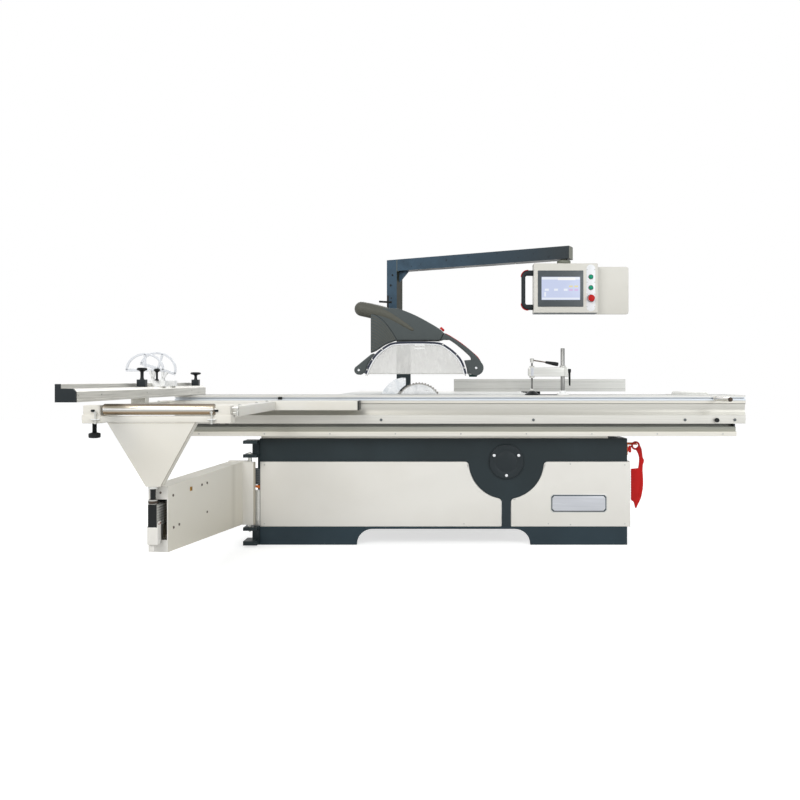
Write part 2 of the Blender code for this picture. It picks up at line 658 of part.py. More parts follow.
def outrigger_frame():
    """Profile bar along the table, two side beams, roller brackets and the beam under the roller."""
    right = OUTRIGGER_LEFT + OUTRIGGER_LENGTH
    bar_back = SLIDE_FRONT - GAP
    bar_front = bar_back - OUTRIGGER_BAR_DEPTH
    frame = add("outrigger_frame", box_mesh(
        (OUTRIGGER_LEFT, bar_front, BAR_BOTTOM),
        (OUTRIGGER_LEFT + OUTRIGGER_BAR_LENGTH, bar_back, BAR_TOP)), BEIGE)
    for low_x, high_x in ((OUTRIGGER_LEFT, OUTRIGGER_LEFT + 0.060), (right - 0.060, right)):
        join(frame, box_mesh((low_x, OUTRIGGER_FRONT + 0.050, BAR_BOTTOM + 0.002),
                             (high_x, bar_front + 0.010, BAR_TOP - 0.002)))
    join(frame, box_mesh((OUTRIGGER_LEFT + 0.002, OUTRIGGER_FRONT + 0.002, NEAR_BEAM_BOTTOM),
                         (right - 0.002, OUTRIGGER_FRONT + 0.058, ROLLER_CENTRE - ROLLER_RADIUS - 0.0045)))
    join(frame, box_mesh((OUTRIGGER_LEFT, OUTRIGGER_FRONT, BRACKET_BOTTOM),
                         (OUTRIGGER_LEFT + BRACKET_LEFT_WIDTH, OUTRIGGER_FRONT + 0.070, BRACKET_TOP)))
    join(frame, box_mesh((right - BRACKET_RIGHT_WIDTH, OUTRIGGER_FRONT, BRACKET_BOTTOM),
                         (right, OUTRIGGER_FRONT + 0.070, BRACKET_TOP)))
    join(frame, box_mesh((OUTRIGGER_LEFT + 0.050, OUTER_KNOB_Y - RIB_WIDTH / 2, BAR_BOTTOM + 0.012),
                         (right - 0.050, OUTER_KNOB_Y + RIB_WIDTH / 2, BAR_TOP)))


def support_roller():
    """Chrome roller between the two brackets, with its stub shafts."""
    low = OUTRIGGER_LEFT + BRACKET_LEFT_WIDTH + GAP
    high = OUTRIGGER_LEFT + OUTRIGGER_LENGTH - BRACKET_RIGHT_WIDTH - GAP
    stub = 0.006
    length = high - low
    profile = [(0, length), (0.008, length), (0.008, length - stub), (ROLLER_RADIUS - 0.002, length - stub),
               (ROLLER_RADIUS, length - stub - 0.002), (ROLLER_RADIUS, stub + 0.002),
               (ROLLER_RADIUS - 0.002, stub), (0.008, stub), (0.008, 0), (0, 0)]
    add_turned("support_roller", profile, "X", (low, OUTRIGGER_FRONT + 0.030, ROLLER_CENTRE), CHROME)


def support_triangle():
    """Sheet-metal support under the roller: a tapering plate with two folded sides."""
    top = NEAR_BEAM_BOTTOM - GAP
    left = TRIANGLE_TOP_LEFT
    right = left + TRIANGLE_TOP_WIDTH
    tip_left = (left + right) / 2 + 0.0085 - TRIANGLE_TIP_WIDTH / 2
    tip_right = tip_left + TRIANGLE_TIP_WIDTH
    bottom = TRIANGLE_BOTTOM
    outline = [(tip_left, bottom), (tip_right, bottom), (right, top), (left, top)]
    plate = add("support_triangle",
                plate_mesh([outline], "XZ", OUTRIGGER_FRONT, OUTRIGGER_FRONT + TRIANGLE_DEPTH), BEIGE)
    fold = 0.006
    tray = [(tip_left + fold, bottom - 0.01), (tip_right - fold, bottom - 0.01),
            (tip_right - fold, bottom + 0.004), (right - 2 * fold, top + 0.01), (left + 2 * fold, top + 0.01),
            (tip_left + fold, bottom + 0.004)]
    cut(plate, plate_mesh([tray], "XZ", OUTRIGGER_FRONT + SHEET, OUTRIGGER_FRONT + TRIANGLE_DEPTH + 0.01))


def levelling_knob():
    profile = [(0, 0), (0.010, 0), (0.010, -0.038), (0.013, -0.042), (0.0245, -0.045), (0.0255, -0.052),
               (0.0245, -0.062), (0.020, -0.066), (0, -0.066)]
    add_turned("levelling_knob", profile, "Z",
               (OUTRIGGER_LEFT + 0.045, OUTRIGGER_FRONT + 0.028, BRACKET_BOTTOM - GAP), BLACK)


# ---- Crosscut fence ----

def crosscut_fence():
    """Profile with a ridge on its left side and a foot on the outrigger; origin on the mitre pivot."""
    left = FENCE_X - FENCE_WIDTH / 2
    right = FENCE_X + FENCE_WIDTH / 2
    outline = [(left, ON_TABLE), (right, ON_TABLE), (right, ON_TABLE + FENCE_HEIGHT),
               (left + FENCE_RIDGE_WIDTH, ON_TABLE + FENCE_HEIGHT),
               (left + FENCE_RIDGE_WIDTH, ON_TABLE + FENCE_RIDGE_HEIGHT), (left, ON_TABLE + FENCE_RIDGE_HEIGHT)]
    pivot = Vector((FENCE_X, MITRE_PIVOT_Y, 0))
    fence = add("crosscut_fence", plate_mesh([outline], "XZ", FENCE_NEAR, FENCE_FAR), ALUMINIUM, pivot)
    join(fence, box_mesh((left + 0.006, OUTER_KNOB_Y - RIB_WIDTH / 2, BAR_TOP + GAP),
                         (right - 0.006, OUTER_KNOB_Y + RIB_WIDTH / 2, ON_TABLE + 0.004)))
    chamber = rectangle((left + FENCE_RIDGE_WIDTH + 0.004, ON_TABLE + 0.006),
                        (right - 0.004, ON_TABLE + FENCE_HEIGHT - 0.005))
    cut(fence, plate_mesh([chamber], "XZ", FENCE_NEAR - 0.01, FENCE_FAR + 0.01))


def fence_knobs():
    base = ON_TABLE + FENCE_HEIGHT + GAP
    x = FENCE_X + FENCE_RIDGE_WIDTH / 2
    outer = [(0, 0.094), (0.020, 0.094), (0.0245, 0.090), (0.0245, 0.082), (0.018, 0.076), (0.008, 0.072),
             (0.008, 0.040), (0.021, 0.038), (0.021, 0), (0, 0)]
    add_turned("fence_knob_outer", outer, "Z", (x, OUTER_KNOB_Y, base), BLACK)
    inner = [(0, 0.080), (0.026, 0.080), (0.030, 0.075), (0.030, 0.067), (0.020, 0.062), (0.010, 0.058),
             (0.010, 0.024), (0.018, 0.022), (0.018, 0), (0, 0)]
    add_turned("fence_knob_inner", inner, "Z", (x, MITRE_PIVOT_Y, base), BLACK)


def stops():
    """Two stop carriages astride the fence's ridge, each with a half-round flip stop; the far one is turned back."""
    left = FENCE_X - FENCE_WIDTH / 2
    right = left + FENCE_WIDTH
    base = ON_TABLE + FENCE_HEIGHT + GAP
    saddle = ON_TABLE + FENCE_RIDGE_HEIGHT + GAP
    block_top = base + 0.030
    hub = (STOP_HUB_X, block_top + STOP_HUB_RISE)
    middle = (hub[0] - STOP_REACH, hub[1] + 0.047)
    outline = half_round(middle, STOP_RADIUS, STOP_HEIGHT, 0, 180, 20)
    outline += [(middle[0] - STOP_RADIUS, middle[1] - 0.004), (hub[0] - 0.020, middle[1] - 0.004)]
    outline += arc(hub, 0.0077, 200, 340, 5)
    outline += [(hub[0] + 0.020, middle[1] - 0.004), (middle[0] + STOP_RADIUS, middle[1] - 0.004)]
    windows = []
    for start, end in ((8, 82), (98, 172)):
        window = half_round((middle[0], middle[1] + 0.008), STOP_RADIUS - 0.014, STOP_HEIGHT - 0.022, start, end, 8)
        across = 0.012 if end < 90 else -0.012
        windows.append(window + [(middle[0] + across, middle[1] + 0.009)])
    for name, y, turn in STOP_PLACES:
        carriage = add(f"stop_carriage_{name}", box_mesh(
            (left + FENCE_RIDGE_WIDTH + GAP, y - 0.025, base), (right, y + 0.025, block_top - 0.0005)), STEEL)
        join(carriage, box_mesh((left, y - 0.0245, saddle), (right - 0.0005, y + 0.0245, block_top)))
        stop = plate_mesh([outline] + windows, "XZ", y - STOP_THICKNESS / 2, y + STOP_THICKNESS / 2)
        pivot = Vector((hub[0], y, hub[1]))
        stop.transform(Matrix.Translation(pivot) @ Matrix.Rotation(math.radians(turn), 4, "Y")
                       @ Matrix.Translation(-pivot))
        add(f"flip_stop_{name}", stop, CLEAR, pivot)


# ---- Hold-down clamp ----

def clamp():
    """Column with its foot, arm, spindle with pad, crank with grip and clamping lever."""
    column = add("clamp_column", rod_mesh(
        (CLAMP_X, CLAMP_Y, ON_TABLE), (CLAMP_X, CLAMP_Y, CLAMP_COLUMN_TOP), CLAMP_COLUMN_RADIUS),
        STEEL, (CLAMP_X, CLAMP_Y, ON_TABLE))
    join(column, box_mesh((CLAMP_X - 0.031, CLAMP_Y - 0.028, ON_TABLE),
                          (CLAMP_X + 0.031, CLAMP_Y + 0.028, ON_TABLE + 0.010)))
    half = CLAMP_ARM_WIDTH / 2
    arm = add("clamp_arm", box_mesh((CLAMP_ARM_LEFT, CLAMP_Y - half, CLAMP_ARM_BOTTOM),
                                    (CLAMP_ARM_RIGHT, CLAMP_Y + half, CLAMP_ARM_TOP)), ALUMINIUM)
    join(arm, rod_mesh((SPINDLE_X, CLAMP_Y, CLAMP_ARM_BOTTOM - 0.008),
                       (SPINDLE_X, CLAMP_Y, CLAMP_ARM_TOP + 0.006), 0.0145))
    cut(arm, rod_mesh((CLAMP_X, CLAMP_Y, CLAMP_ARM_BOTTOM - 0.05), (CLAMP_X, CLAMP_Y, CLAMP_ARM_TOP + 0.05),
                      CLAMP_COLUMN_RADIUS + GAP))
    cut(arm, rod_mesh((SPINDLE_X, CLAMP_Y, CLAMP_ARM_BOTTOM - 0.05),
                      (SPINDLE_X, CLAMP_Y, CLAMP_ARM_TOP + 0.05), SPINDLE_RADIUS + GAP))
    spindle_top = CLAMP_ARM_TOP + 0.028 - ON_TABLE
    profile = [(0, spindle_top), (SPINDLE_RADIUS, spindle_top), (SPINDLE_RADIUS, 0.034), (0.011, 0.034),
               (0.011, 0.024), (0.018, 0.022), (PAD_RADIUS, 0.006), (PAD_RADIUS, 0), (0, 0)]
    add_turned("clamp_spindle", profile, "Z", (SPINDLE_X, CLAMP_Y, ON_TABLE), STEEL)
    hub = Vector((SPINDLE_X, CLAMP_Y, ON_TABLE + spindle_top + GAP))
    crank = add("clamp_crank", rod_mesh(hub, hub + Vector((0, 0, 0.024)), 0.011), BLACK, hub)
    rise = Vector((0, 0, 0.013))
    join(crank, rod_mesh(hub + rise, hub + rise + Vector((0.080, 0, -0.012)), 0.0045, sides=12))
    join(crank, rod_mesh(hub + Vector((0.070, 0, 0.0023)), hub + Vector((0.150, 0, -0.0065)), 0.010, 0.0095))
    lever_hub = Vector((CLAMP_ARM_RIGHT + GAP, CLAMP_Y, CLAMP_ARM_TOP - 0.020))
    lever = add("clamp_lever", rod_mesh(lever_hub, lever_hub + Vector((0.018, 0, 0)), 0.011), BLACK, lever_hub)
    join(lever, rod_mesh(lever_hub + Vector((0.010, 0, 0)), lever_hub + Vector((0.012, 0, -0.087)), 0.007, 0.005,
                         sides=12))


# ---- Swing arm ----

def swing_arm():
    """Hollow tapering arm beside its hinge plate and pins, open at its tip for the telescopic tube."""
    pivot = pivot_empty("arm_hinge", (ARM_HINGE_X, ARM_HINGE_Y, 0), ARM_ANGLE, machine)
    heel = 0.020
    outline = [(heel, ARM_BOTTOM), (heel, ARM_TOP), (-ARM_LENGTH, ARM_TOP), (-ARM_LENGTH, ARM_TIP_BOTTOM)]
    middle = ARM_OFFSET
    half = ARM_WIDTH / 2
    arm = add("swing_arm", plate_mesh([outline], "YZ", middle - half, middle + half), BEIGE, parent=pivot)
    join(arm, box_mesh((middle + half - 0.004, -0.012, ARM_BOTTOM + 0.001), (HEEL_PLATE_RIGHT, 0.012, ARM_TOP - 0.001)))
    tube_half = INNER_TUBE_WIDTH / 2
    opening_bottom = 0.237
    cut(arm, box_mesh((middle - tube_half - 0.010, -ARM_LENGTH - 0.01, opening_bottom),
                      (middle + tube_half + 0.010, -0.060, INNER_TUBE_TOP + GAP)))
    cut(arm, box_mesh((middle - half + 0.005, -ARM_LENGTH - 0.01, opening_bottom + 0.010),
                      (middle + half - 0.005, -ARM_LENGTH + 0.030, INNER_TUBE_TOP + 0.014)))
    join(arm, rod_mesh((0, 0, THIRD_TAB[1] + GAP), (0, 0, ARM_BOTTOM + 0.02), 0.0115, sides=16))
    join(arm, rod_mesh((0, 0, ARM_TOP - 0.02), (0, 0, SECOND_TAB[0] - GAP), 0.0115, sides=16))
    near = -(ARM_LENGTH + INNER_TUBE_REACH)
    bottom = INNER_TUBE_TOP - INNER_TUBE_HEIGHT
    tube = add("arm_inner_tube", box_mesh((middle - tube_half, near, bottom),
                                          (middle + tube_half, near + INNER_TUBE_LENGTH, INNER_TUBE_TOP)),
               STEEL, parent=pivot)
    cover = [(near + 0.001, 0.240), (near - 0.000, bottom + 0.004), (-ARM_LENGTH - 0.004, bottom + 0.004),
             (-ARM_LENGTH - 0.004, 0.262), (near + 0.045, 0.236)]
    join(tube, plate_mesh([cover], "YZ", middle - tube_half - 0.003, middle + tube_half + 0.003))
    post_top = TRIANGLE_BOTTOM - GAP
    post = middle + POST_OFFSET
    join(tube, rod_mesh((post, ARM_PIVOT_Y, INNER_TUBE_TOP - 0.005), (post, ARM_PIVOT_Y, INNER_TUBE_TOP + 0.018), 0.020))
    join(tube, rod_mesh((post, ARM_PIVOT_Y, INNER_TUBE_TOP + 0.016), (post, ARM_PIVOT_Y, post_top), 0.011))


def arm_hinge_bracket():
    """Back plate on the base's left side with two C-shaped pairs of tabs round the hinge pins."""
    right = BASE_LEFT - GAP
    plate = add("arm_hinge_bracket", box_mesh((right - 0.012, BASE_FRONT, 0), (right, BASE_FRONT + 0.065, 0.610)),
                DARK_BLUE)
    tabs = (FOURTH_TAB, THIRD_TAB, SECOND_TAB, FIRST_TAB)
    for bottom, top in tabs:
        join(plate, box_mesh((ARM_HINGE_X - 0.030, ARM_HINGE_Y - 0.040, bottom),
                             (right - 0.002, BASE_FRONT + 0.040, top)))
    for lower, upper in (tabs[:2], tabs[2:]):
        join(plate, box_mesh((ARM_HINGE_X + 0.0105, BASE_FRONT - 0.012, lower[0] + 0.002),
                             (right - 0.003, BASE_FRONT + 0.010, upper[1] - 0.002)))


# ---- Fixed tables and column ----

def main_table():
    """Cast plate with the blade slot, two legs on the cross members and the trunnion lugs."""
    right = MAIN_LEFT + MAIN_LENGTH
    edge = -SLOT_HALF_WIDTH
    table = add("main_table", box_mesh((MAIN_LEFT, SLOT_HALF_WIDTH, TABLE_UNDERSIDE),
                                       (right, MAIN_DEPTH, TABLE_HEIGHT)), CAST_IRON)
    strip_bottom = TABLE_HEIGHT - STRIP_THICKNESS
    join(table, box_mesh((MAIN_LEFT, edge - STRIP_WIDTH, strip_bottom), (right, SLOT_HALF_WIDTH + 0.02, TABLE_HEIGHT)))
    cut(table, box_mesh((-0.270, edge, TABLE_UNDERSIDE - 0.01), (0.330, SLOT_HALF_WIDTH, TABLE_HEIGHT + 0.01)))
    for centre in (MAIN_LEFT + 0.050, right - 0.050):
        join(table, box_mesh((centre - 0.030, 0.100, BEAM_TOP + GAP), (centre + 0.030, 0.580, TABLE_UNDERSIDE + 0.004)))
    lug = 0.028
    for low_x in (TRUNNION_LEFT - GAP - lug, TRUNNION_RIGHT + TRUNNION_THICKNESS + GAP):
        join(table, box_mesh((low_x, 0.030, TABLE_UNDERSIDE - 0.240), (low_x + lug, 0.230, TABLE_UNDERSIDE + 0.004)))


def extension_table():
    y = MAIN_DEPTH + GAP
    table = add("extension_table", box_mesh((MAIN_LEFT, y, TABLE_HEIGHT - 0.040),
                                            (MAIN_LEFT + MAIN_LENGTH, y + EXTENSION_DEPTH, TABLE_HEIGHT)), ALUMINIUM)
    rim = 0.004
    cut(table, box_mesh((MAIN_LEFT + rim, y + rim, TABLE_HEIGHT - 0.05),
                        (MAIN_LEFT + MAIN_LENGTH - rim, y + EXTENSION_DEPTH - rim, TABLE_HEIGHT - 0.006)))


def rear_column():
    """Hollow square column with a foot and a head plate that carries the mast and the guard boom."""
    half = COLUMN_SIZE / 2
    column = add("rear_column", box_mesh((COLUMN_X - half, COLUMN_FRONT, 0), (COLUMN_X + half, COLUMN_BACK, COLUMN_TOP + 0.01)),
                 POST_BLUE)
    join(column, box_mesh((COLUMN_X - 0.095, COLUMN_FRONT - 0.045, 0), (COLUMN_X + 0.095, COLUMN_BACK, 0.012)))
    join(column, box_mesh((BOOM_PIVOT_X - 0.060, BOOM_PIVOT_Y - 0.050, COLUMN_TOP),
                          (COLUMN_X + half, COLUMN_BACK, COLUMN_TOP + COLUMN_HEAD)))
    cut(column, box_mesh((COLUMN_X - half + COLUMN_WALL, COLUMN_FRONT + COLUMN_WALL, -0.01),
                         (COLUMN_X + half - COLUMN_WALL, COLUMN_BACK - COLUMN_WALL, COLUMN_TOP)))


# ---- Saw unit ----

def segment(low_x):
    """One half-moon trunnion that hangs on the tilt axis at the table's surface."""
    centre = (0, TABLE_HEIGHT)
    outline = arc(centre, TRUNNION_OUTER, 270 - 30, 270 + 75, 20)
    outline += arc(centre, TRUNNION_INNER, 270 + 75, 270 - 30, 14)
    return plate_mesh([outline], "YZ", low_x, low_x + TRUNNION_THICKNESS)


def tilt_cradle():
    """U-shaped plate between the two trunnions; its origin is on the tilt axis."""
    left = TRUNNION_LEFT + 0.010
    right = TRUNNION_RIGHT + 0.010
    outline = [(left, 0.370), (right, 0.370), (right, 0.760), (0.180, 0.760), (0.180, 0.400),
               (-0.090, 0.400), (-0.090, 0.760), (left, 0.760)]
    cradle = add("tilt_cradle", plate_mesh([outline], "XZ", CRADLE_Y, CRADLE_Y + CRADLE_THICKNESS), CAST_IRON,
                 (0, 0, TABLE_HEIGHT))
    join(cradle, segment(TRUNNION_LEFT), segment(TRUNNION_RIGHT))


def rise_carriage():
    """Plate that slides on the cradle, with the arbor housing, motor flange and knife arm."""
    back = CRADLE_Y - GAP
    front = back - 0.0245
    outline = [(-0.130, 0.470), (0.220, 0.470), (0.220, 0.740), (0.160, 0.740), (0.160, 0.820),
               (-0.130, 0.820), (-0.130, 0.800), (-0.222, 0.800), (-0.222, 0.745), (-0.130, 0.745)]
    carriage = add("rise_carriage", plate_mesh([outline], "XZ", front, back), CAST_IRON)
    start = BLADE_THICKNESS / 2 + GAP + FLANGE_THICKNESS + GAP
    join(carriage, rod_mesh((0, start, BLADE_Z), (0, start + HOUSING_LENGTH, BLADE_Z), HOUSING_RADIUS, sides=28))
    join(carriage, box_mesh((-0.220, 0.0013 + GAP, 0.750), (-0.170, front + 0.004, 0.795)))
    cut(carriage, rod_mesh((0, -0.05, BLADE_Z), (0, 0.35, BLADE_Z), ARBOR_RADIUS + GAP, sides=24))


def riving_knife():
    """Crescent behind the blade, 5 mm clear of its teeth."""
    thickness = 0.0026
    inner = BLADE_RADIUS + 0.006
    outline = [(-0.220, 0.750), (-0.170, 0.750)]
    outline += arc((0, BLADE_Z), inner, 180, 122, 12)
    outline += [(-0.082, 0.965), (-0.084, 0.972), (-0.111, 0.972), (-0.149, 0.963), (-0.187, 0.937),
                (-0.219, 0.899), (-0.241, 0.861), (-0.246, 0.820), (-0.238, 0.780)]
    add("riving_knife", plate_mesh([outline], "XZ", -thickness / 2, thickness / 2), STEEL)


def toothed_disc(centre, radius, teeth, depth):
    """Saw teeth: a hooked face, a short back and a rounded gullet, repeated round the rim."""
    points = []
    for tooth in range(teeth):
        for share, drop in ((0.0, 0.0), (0.30, 0.12), (0.62, 1.0)):
            angle = -2 * math.pi * (tooth + share) / teeth
            reach = radius - depth * drop
            points.append((centre[0] + reach * math.cos(angle), centre[1] + reach * math.sin(angle)))
    return points


def saw_blade():
    half = BLADE_THICKNESS / 2
    rim = toothed_disc((0, BLADE_Z), BLADE_RADIUS, BLADE_TEETH, 0.008)
    bore = circle((0, BLADE_Z), BLADE_BORE, 20)
    add("saw_blade", plate_mesh([rim, bore], "XZ", -half, half), STEEL, (0, 0, BLADE_Z))


def saw_arbor():
    """Shaft with the inner flange, the clamping flange and nut in front, and the pulley behind."""
    side = BLADE_THICKNESS / 2 + GAP
    housing_end = side + FLANGE_THICKNESS + GAP + HOUSING_LENGTH
    pulley = housing_end + 0.0150
    shaft = ARBOR_RADIUS
    profile = [
        (0, pulley + PULLEY_WIDTH), (ARBOR_PULLEY_RADIUS, pulley + PULLEY_WIDTH), (ARBOR_PULLEY_RADIUS, pulley),
        (shaft, pulley), (shaft, side + FLANGE_THICKNESS), (FLANGE_RADIUS, side + FLANGE_THICKNESS),
        (FLANGE_RADIUS, side), (shaft, side), (shaft, -side), (FLANGE_RADIUS, -side),
        (FLANGE_RADIUS, -side - 0.006), (0.013, -side - FLANGE_THICKNESS), (0.013, -side - 0.018), (0, -side - 0.018),
    ]
    add_turned("saw_arbor", profile, "Y", (0, 0, BLADE_Z), STEEL)


def belt_drive():
    """Main motor bolted to the carriage, its shaft with pulley, and the belt up to the arbor."""
    pulley = BLADE_THICKNESS / 2 + 2 * GAP + FLANGE_THICKNESS + HOUSING_LENGTH + 0.0150
    start = CRADLE_Y
    end = start + MOTOR_LENGTH
    motor = add("main_motor", rod_mesh((MOTOR_X, start, MOTOR_Z), (MOTOR_X, end, MOTOR_Z), MOTOR_RADIUS, sides=32),
                DARK_BLUE)
    join(motor, box_mesh((MOTOR_X - 0.030, start + 0.040, MOTOR_Z + MOTOR_RADIUS - 0.010),
                         (MOTOR_X + 0.030, start + 0.110, MOTOR_Z + MOTOR_RADIUS + 0.016)))
    shaft = end + GAP
    profile = [(0, PULLEY_WIDTH), (MOTOR_PULLEY_RADIUS, PULLEY_WIDTH), (MOTOR_PULLEY_RADIUS, 0), (0.012, 0),
               (0.012, shaft - pulley), (0, shaft - pulley)]
    add_turned("motor_pulley", profile, "Y", (MOTOR_X, pulley, MOTOR_Z), STEEL)
    across = Vector((MOTOR_X, MOTOR_Z)) - Vector((0, BLADE_Z))
    lean = math.degrees(math.atan2(across.y, across.x))
    open_angle = math.degrees(math.asin((MOTOR_PULLEY_RADIUS - ARBOR_PULLEY_RADIUS) / across.length))
    loops = []
    for extra in (GAP + BELT_THICKNESS, GAP):
        loop = arc((MOTOR_X, MOTOR_Z), MOTOR_PULLEY_RADIUS + extra, lean - 90 - open_angle, lean + 90 + open_angle, 18)
        loop += arc((0, BLADE_Z), ARBOR_PULLEY_RADIUS + extra, lean + 90 + open_angle, lean + 270 - open_angle, 16)
        loops.append(loop)
    add("drive_belt", plate_mesh(loops, "XZ", pulley + 0.003, pulley + PULLEY_WIDTH - 0.003), RUBBER)


def scoring_unit():
    """Small blade ahead of the main one, on its own motor that stands on the cradle."""
    half = 0.0015
    centre = (SCORING_X, SCORING_Z)
    rim = toothed_disc(centre, SCORING_RADIUS, 24, 0.005)
    blade = add("scoring_blade", plate_mesh([rim], "XZ", -half, half), STEEL, (SCORING_X, 0, SCORING_Z))
    join(blade, rod_mesh((SCORING_X, -0.008, SCORING_Z), (SCORING_X, 0.014, SCORING_Z), 0.014, sides=20))
    start = 0.014 + GAP
    motor = add("scoring_motor", rod_mesh((SCORING_X, start, SCORING_Z), (SCORING_X, 0.190, SCORING_Z),
                                          SCORING_MOTOR_RADIUS), DARK_BLUE)
    join(motor, box_mesh((SCORING_X - 0.022, CRADLE_Y, 0.760 + GAP), (SCORING_X + 0.022, CRADLE_Y + CRADLE_THICKNESS, SCORING_Z)))


# ---- Overhead guard ----

def rim_curve():
    """The lower edge of the hood and upper edge of the shield, left to right, as (x, z)."""
    return [(-0.334, SHIELD_BOTTOM), (-0.312, 1.055), (-0.277, 1.110), (-0.2385, 1.148), (-0.187, 1.180),
            (-0.136, 1.196), (0.100, 1.196), (0.157, 1.180), (0.221, 1.1355), (0.272, 1.078), (0.297, SHIELD_BOTTOM)]


def guard_boom():
    """Arm from the column head to the hood, ending in the upright slide plate; origin on its pivot."""
    half = BOOM_SIZE / 2
    top = COLUMN_TOP - GAP
    bottom = top - BOOM_SIZE
    rear = HOOD_WIDTH / 2 + GAP
    boom = add("guard_boom", box_mesh((BOOM_PIVOT_X - half, rear, bottom), (BOOM_PIVOT_X + half, BOOM_PIVOT_Y, top)),
               POST_BLUE, (BOOM_PIVOT_X, BOOM_PIVOT_Y, 0))
    join(boom, rod_mesh((BOOM_PIVOT_X, BOOM_PIVOT_Y, bottom - 0.001), (BOOM_PIVOT_X, BOOM_PIVOT_Y, top), 0.048))
    join(boom, box_mesh((BOOM_PIVOT_X - 0.020, rear, 1.215), (BOOM_PIVOT_X + 0.110, rear + 0.012, top - 0.004)))


def boom_clamp_handle():
    """Black T handle that stands on the column head over the boom's pivot."""
    foot = COLUMN_TOP + COLUMN_HEAD + GAP
    pivot = Vector((BOOM_PIVOT_X, BOOM_PIVOT_Y, foot))
    handle = add("boom_clamp_handle", rod_mesh(pivot, pivot + Vector((0, 0, 0.162)), 0.007, sides=16), BLACK, pivot)
    bar = pivot + Vector((0, 0, 0.112))
    join(handle, rod_mesh(bar + Vector((-0.068, 0, 0.004)), bar + Vector((0.030, 0, -0.002)), 0.008, sides=12))
    join(handle, rod_mesh(pivot, pivot + Vector((0, 0, 0.012)), 0.018, sides=20))


def guard_hood():
    """Upper shell: suction hood at the left, strut down to the nose at the right, open window."""
    rim = [(x, z + GAP) for x, z in rim_curve()[2:-2]]
    nose = (0.355, 1.033)
    top = [(0.3975, 1.058), (0.374, 1.084), (0.3355, 1.1225), (0.272, 1.174), (0.214, 1.218), BUTTON_EDGE[0],
           BUTTON_EDGE[1], (0.049, 1.324), (-0.047, 1.365), (-0.111, 1.394), (-0.207, 1.422), (-0.302, 1.440),
           (-0.345, 1.440), (-0.392, 1.428), (-0.409, 1.400), (-0.395, 1.368), (-0.297, 1.339), (-0.297, 1.132)]
    outline = rim + [(0.2725, 1.0785), (0.298, 1.036)] + arc(nose, 0.048, 230, 385, 10) + top[1:]
    window = [(0.060, 1.222), (0.135, 1.214), (0.200, 1.176), (0.248, 1.132), (0.275, 1.098), (0.288, 1.100),
              (0.276, 1.128), (0.228, 1.172), (0.165, 1.212), (0.100, 1.240)]
    half = HOOD_WIDTH / 2
    hood = add("guard_hood", plate_mesh([outline, window], "XZ", -half, half), HOOD_GREY)
    cut(hood, rod_mesh(BUTTON_SEAT - 0.008 * BUTTON_OUT, BUTTON_SEAT + 0.010 * BUTTON_OUT,
                       HOOD_BUTTON_RADIUS + 0.0005, sides=24))
    hollow = [(-0.270, 1.100), (0.050, 1.100), (0.050, 1.255), (-0.040, 1.325), (-0.110, 1.368),
              (-0.200, 1.400), (-0.275, 1.405)]
    cut(hood, plate_mesh([hollow], "XZ", -half + HOOD_WALL, half - HOOD_WALL))


def guard_shield():
    """Clear lower shell, open below for the blade and open above into the suction hood."""
    half = HOOD_WIDTH / 2 - 0.002
    shield = add("guard_shield", plate_mesh([rim_curve()], "XZ", -half, half), CLEAR)
    wall = HOOD_WALL
    inside = [(x * 0.985 - 0.0003, z - wall) for x, z in rim_curve()]
    inside[0] = (inside[0][0], SHIELD_BOTTOM - 0.02)
    inside[-1] = (inside[-1][0], SHIELD_BOTTOM - 0.02)
    cut(shield, plate_mesh([inside], "XZ", -half + wall, half - wall))
    cut(shield, box_mesh((-0.130, -half + wall, 1.150), (0.040, half - wall, 1.210)))


def guard_button():
    """Red button whose stem goes into a hole in the hood's sloping edge."""
    stem = HOOD_BUTTON_RADIUS
    profile = [(0, 0.018), (stem + 0.003, 0.018), (stem + 0.006, 0.014), (stem + 0.006, BUTTON_GAP),
               (stem, BUTTON_GAP), (stem, -0.002), (0, -0.002)]
    button = add_turned("guard_button", profile, "Z", BUTTON_SEAT, RED)
    button.rotation_euler = BUTTON_OUT.to_track_quat("Z", "Y").to_euler()


# ---- Pendant ----

def pendant_arm():
    """Square tube mast and boom in one piece, with a gusset; hollow and open at both ends."""
    pivot = pivot_empty("pendant_arm_pivot", (MAST_X, MAST_Y, 0), PENDANT_ARM_ANGLE, machine)
    half = ARM_TUBE / 2
    foot = COLUMN_TOP + COLUMN_HEAD + GAP
    bottom = ARM_TUBE_TOP - ARM_TUBE
    arm = add("pendant_arm", box_mesh((-half, -half, foot), (half, half, ARM_TUBE_TOP)), POST_BLUE, parent=pivot)
    join(arm, box_mesh((half - 0.005, -half, bottom), (PENDANT_ARM_REACH, half, ARM_TUBE_TOP)))
    gusset = [(half - 0.004, bottom + 0.004), (half - 0.004, bottom - 0.090), (half + 0.090, bottom + 0.004)]
    join(arm, plate_mesh([gusset], "XZ", -0.005, 0.005))
    wall = ARM_TUBE_WALL
    cut(arm, box_mesh((-half + wall, -half + wall, foot - 0.01), (half - wall, half - wall, ARM_TUBE_TOP - wall)))
    cut(arm, box_mesh((half - wall - 0.01, -half + wall, bottom + wall),
                      (PENDANT_ARM_REACH + 0.01, half - wall, ARM_TUBE_TOP - wall)))


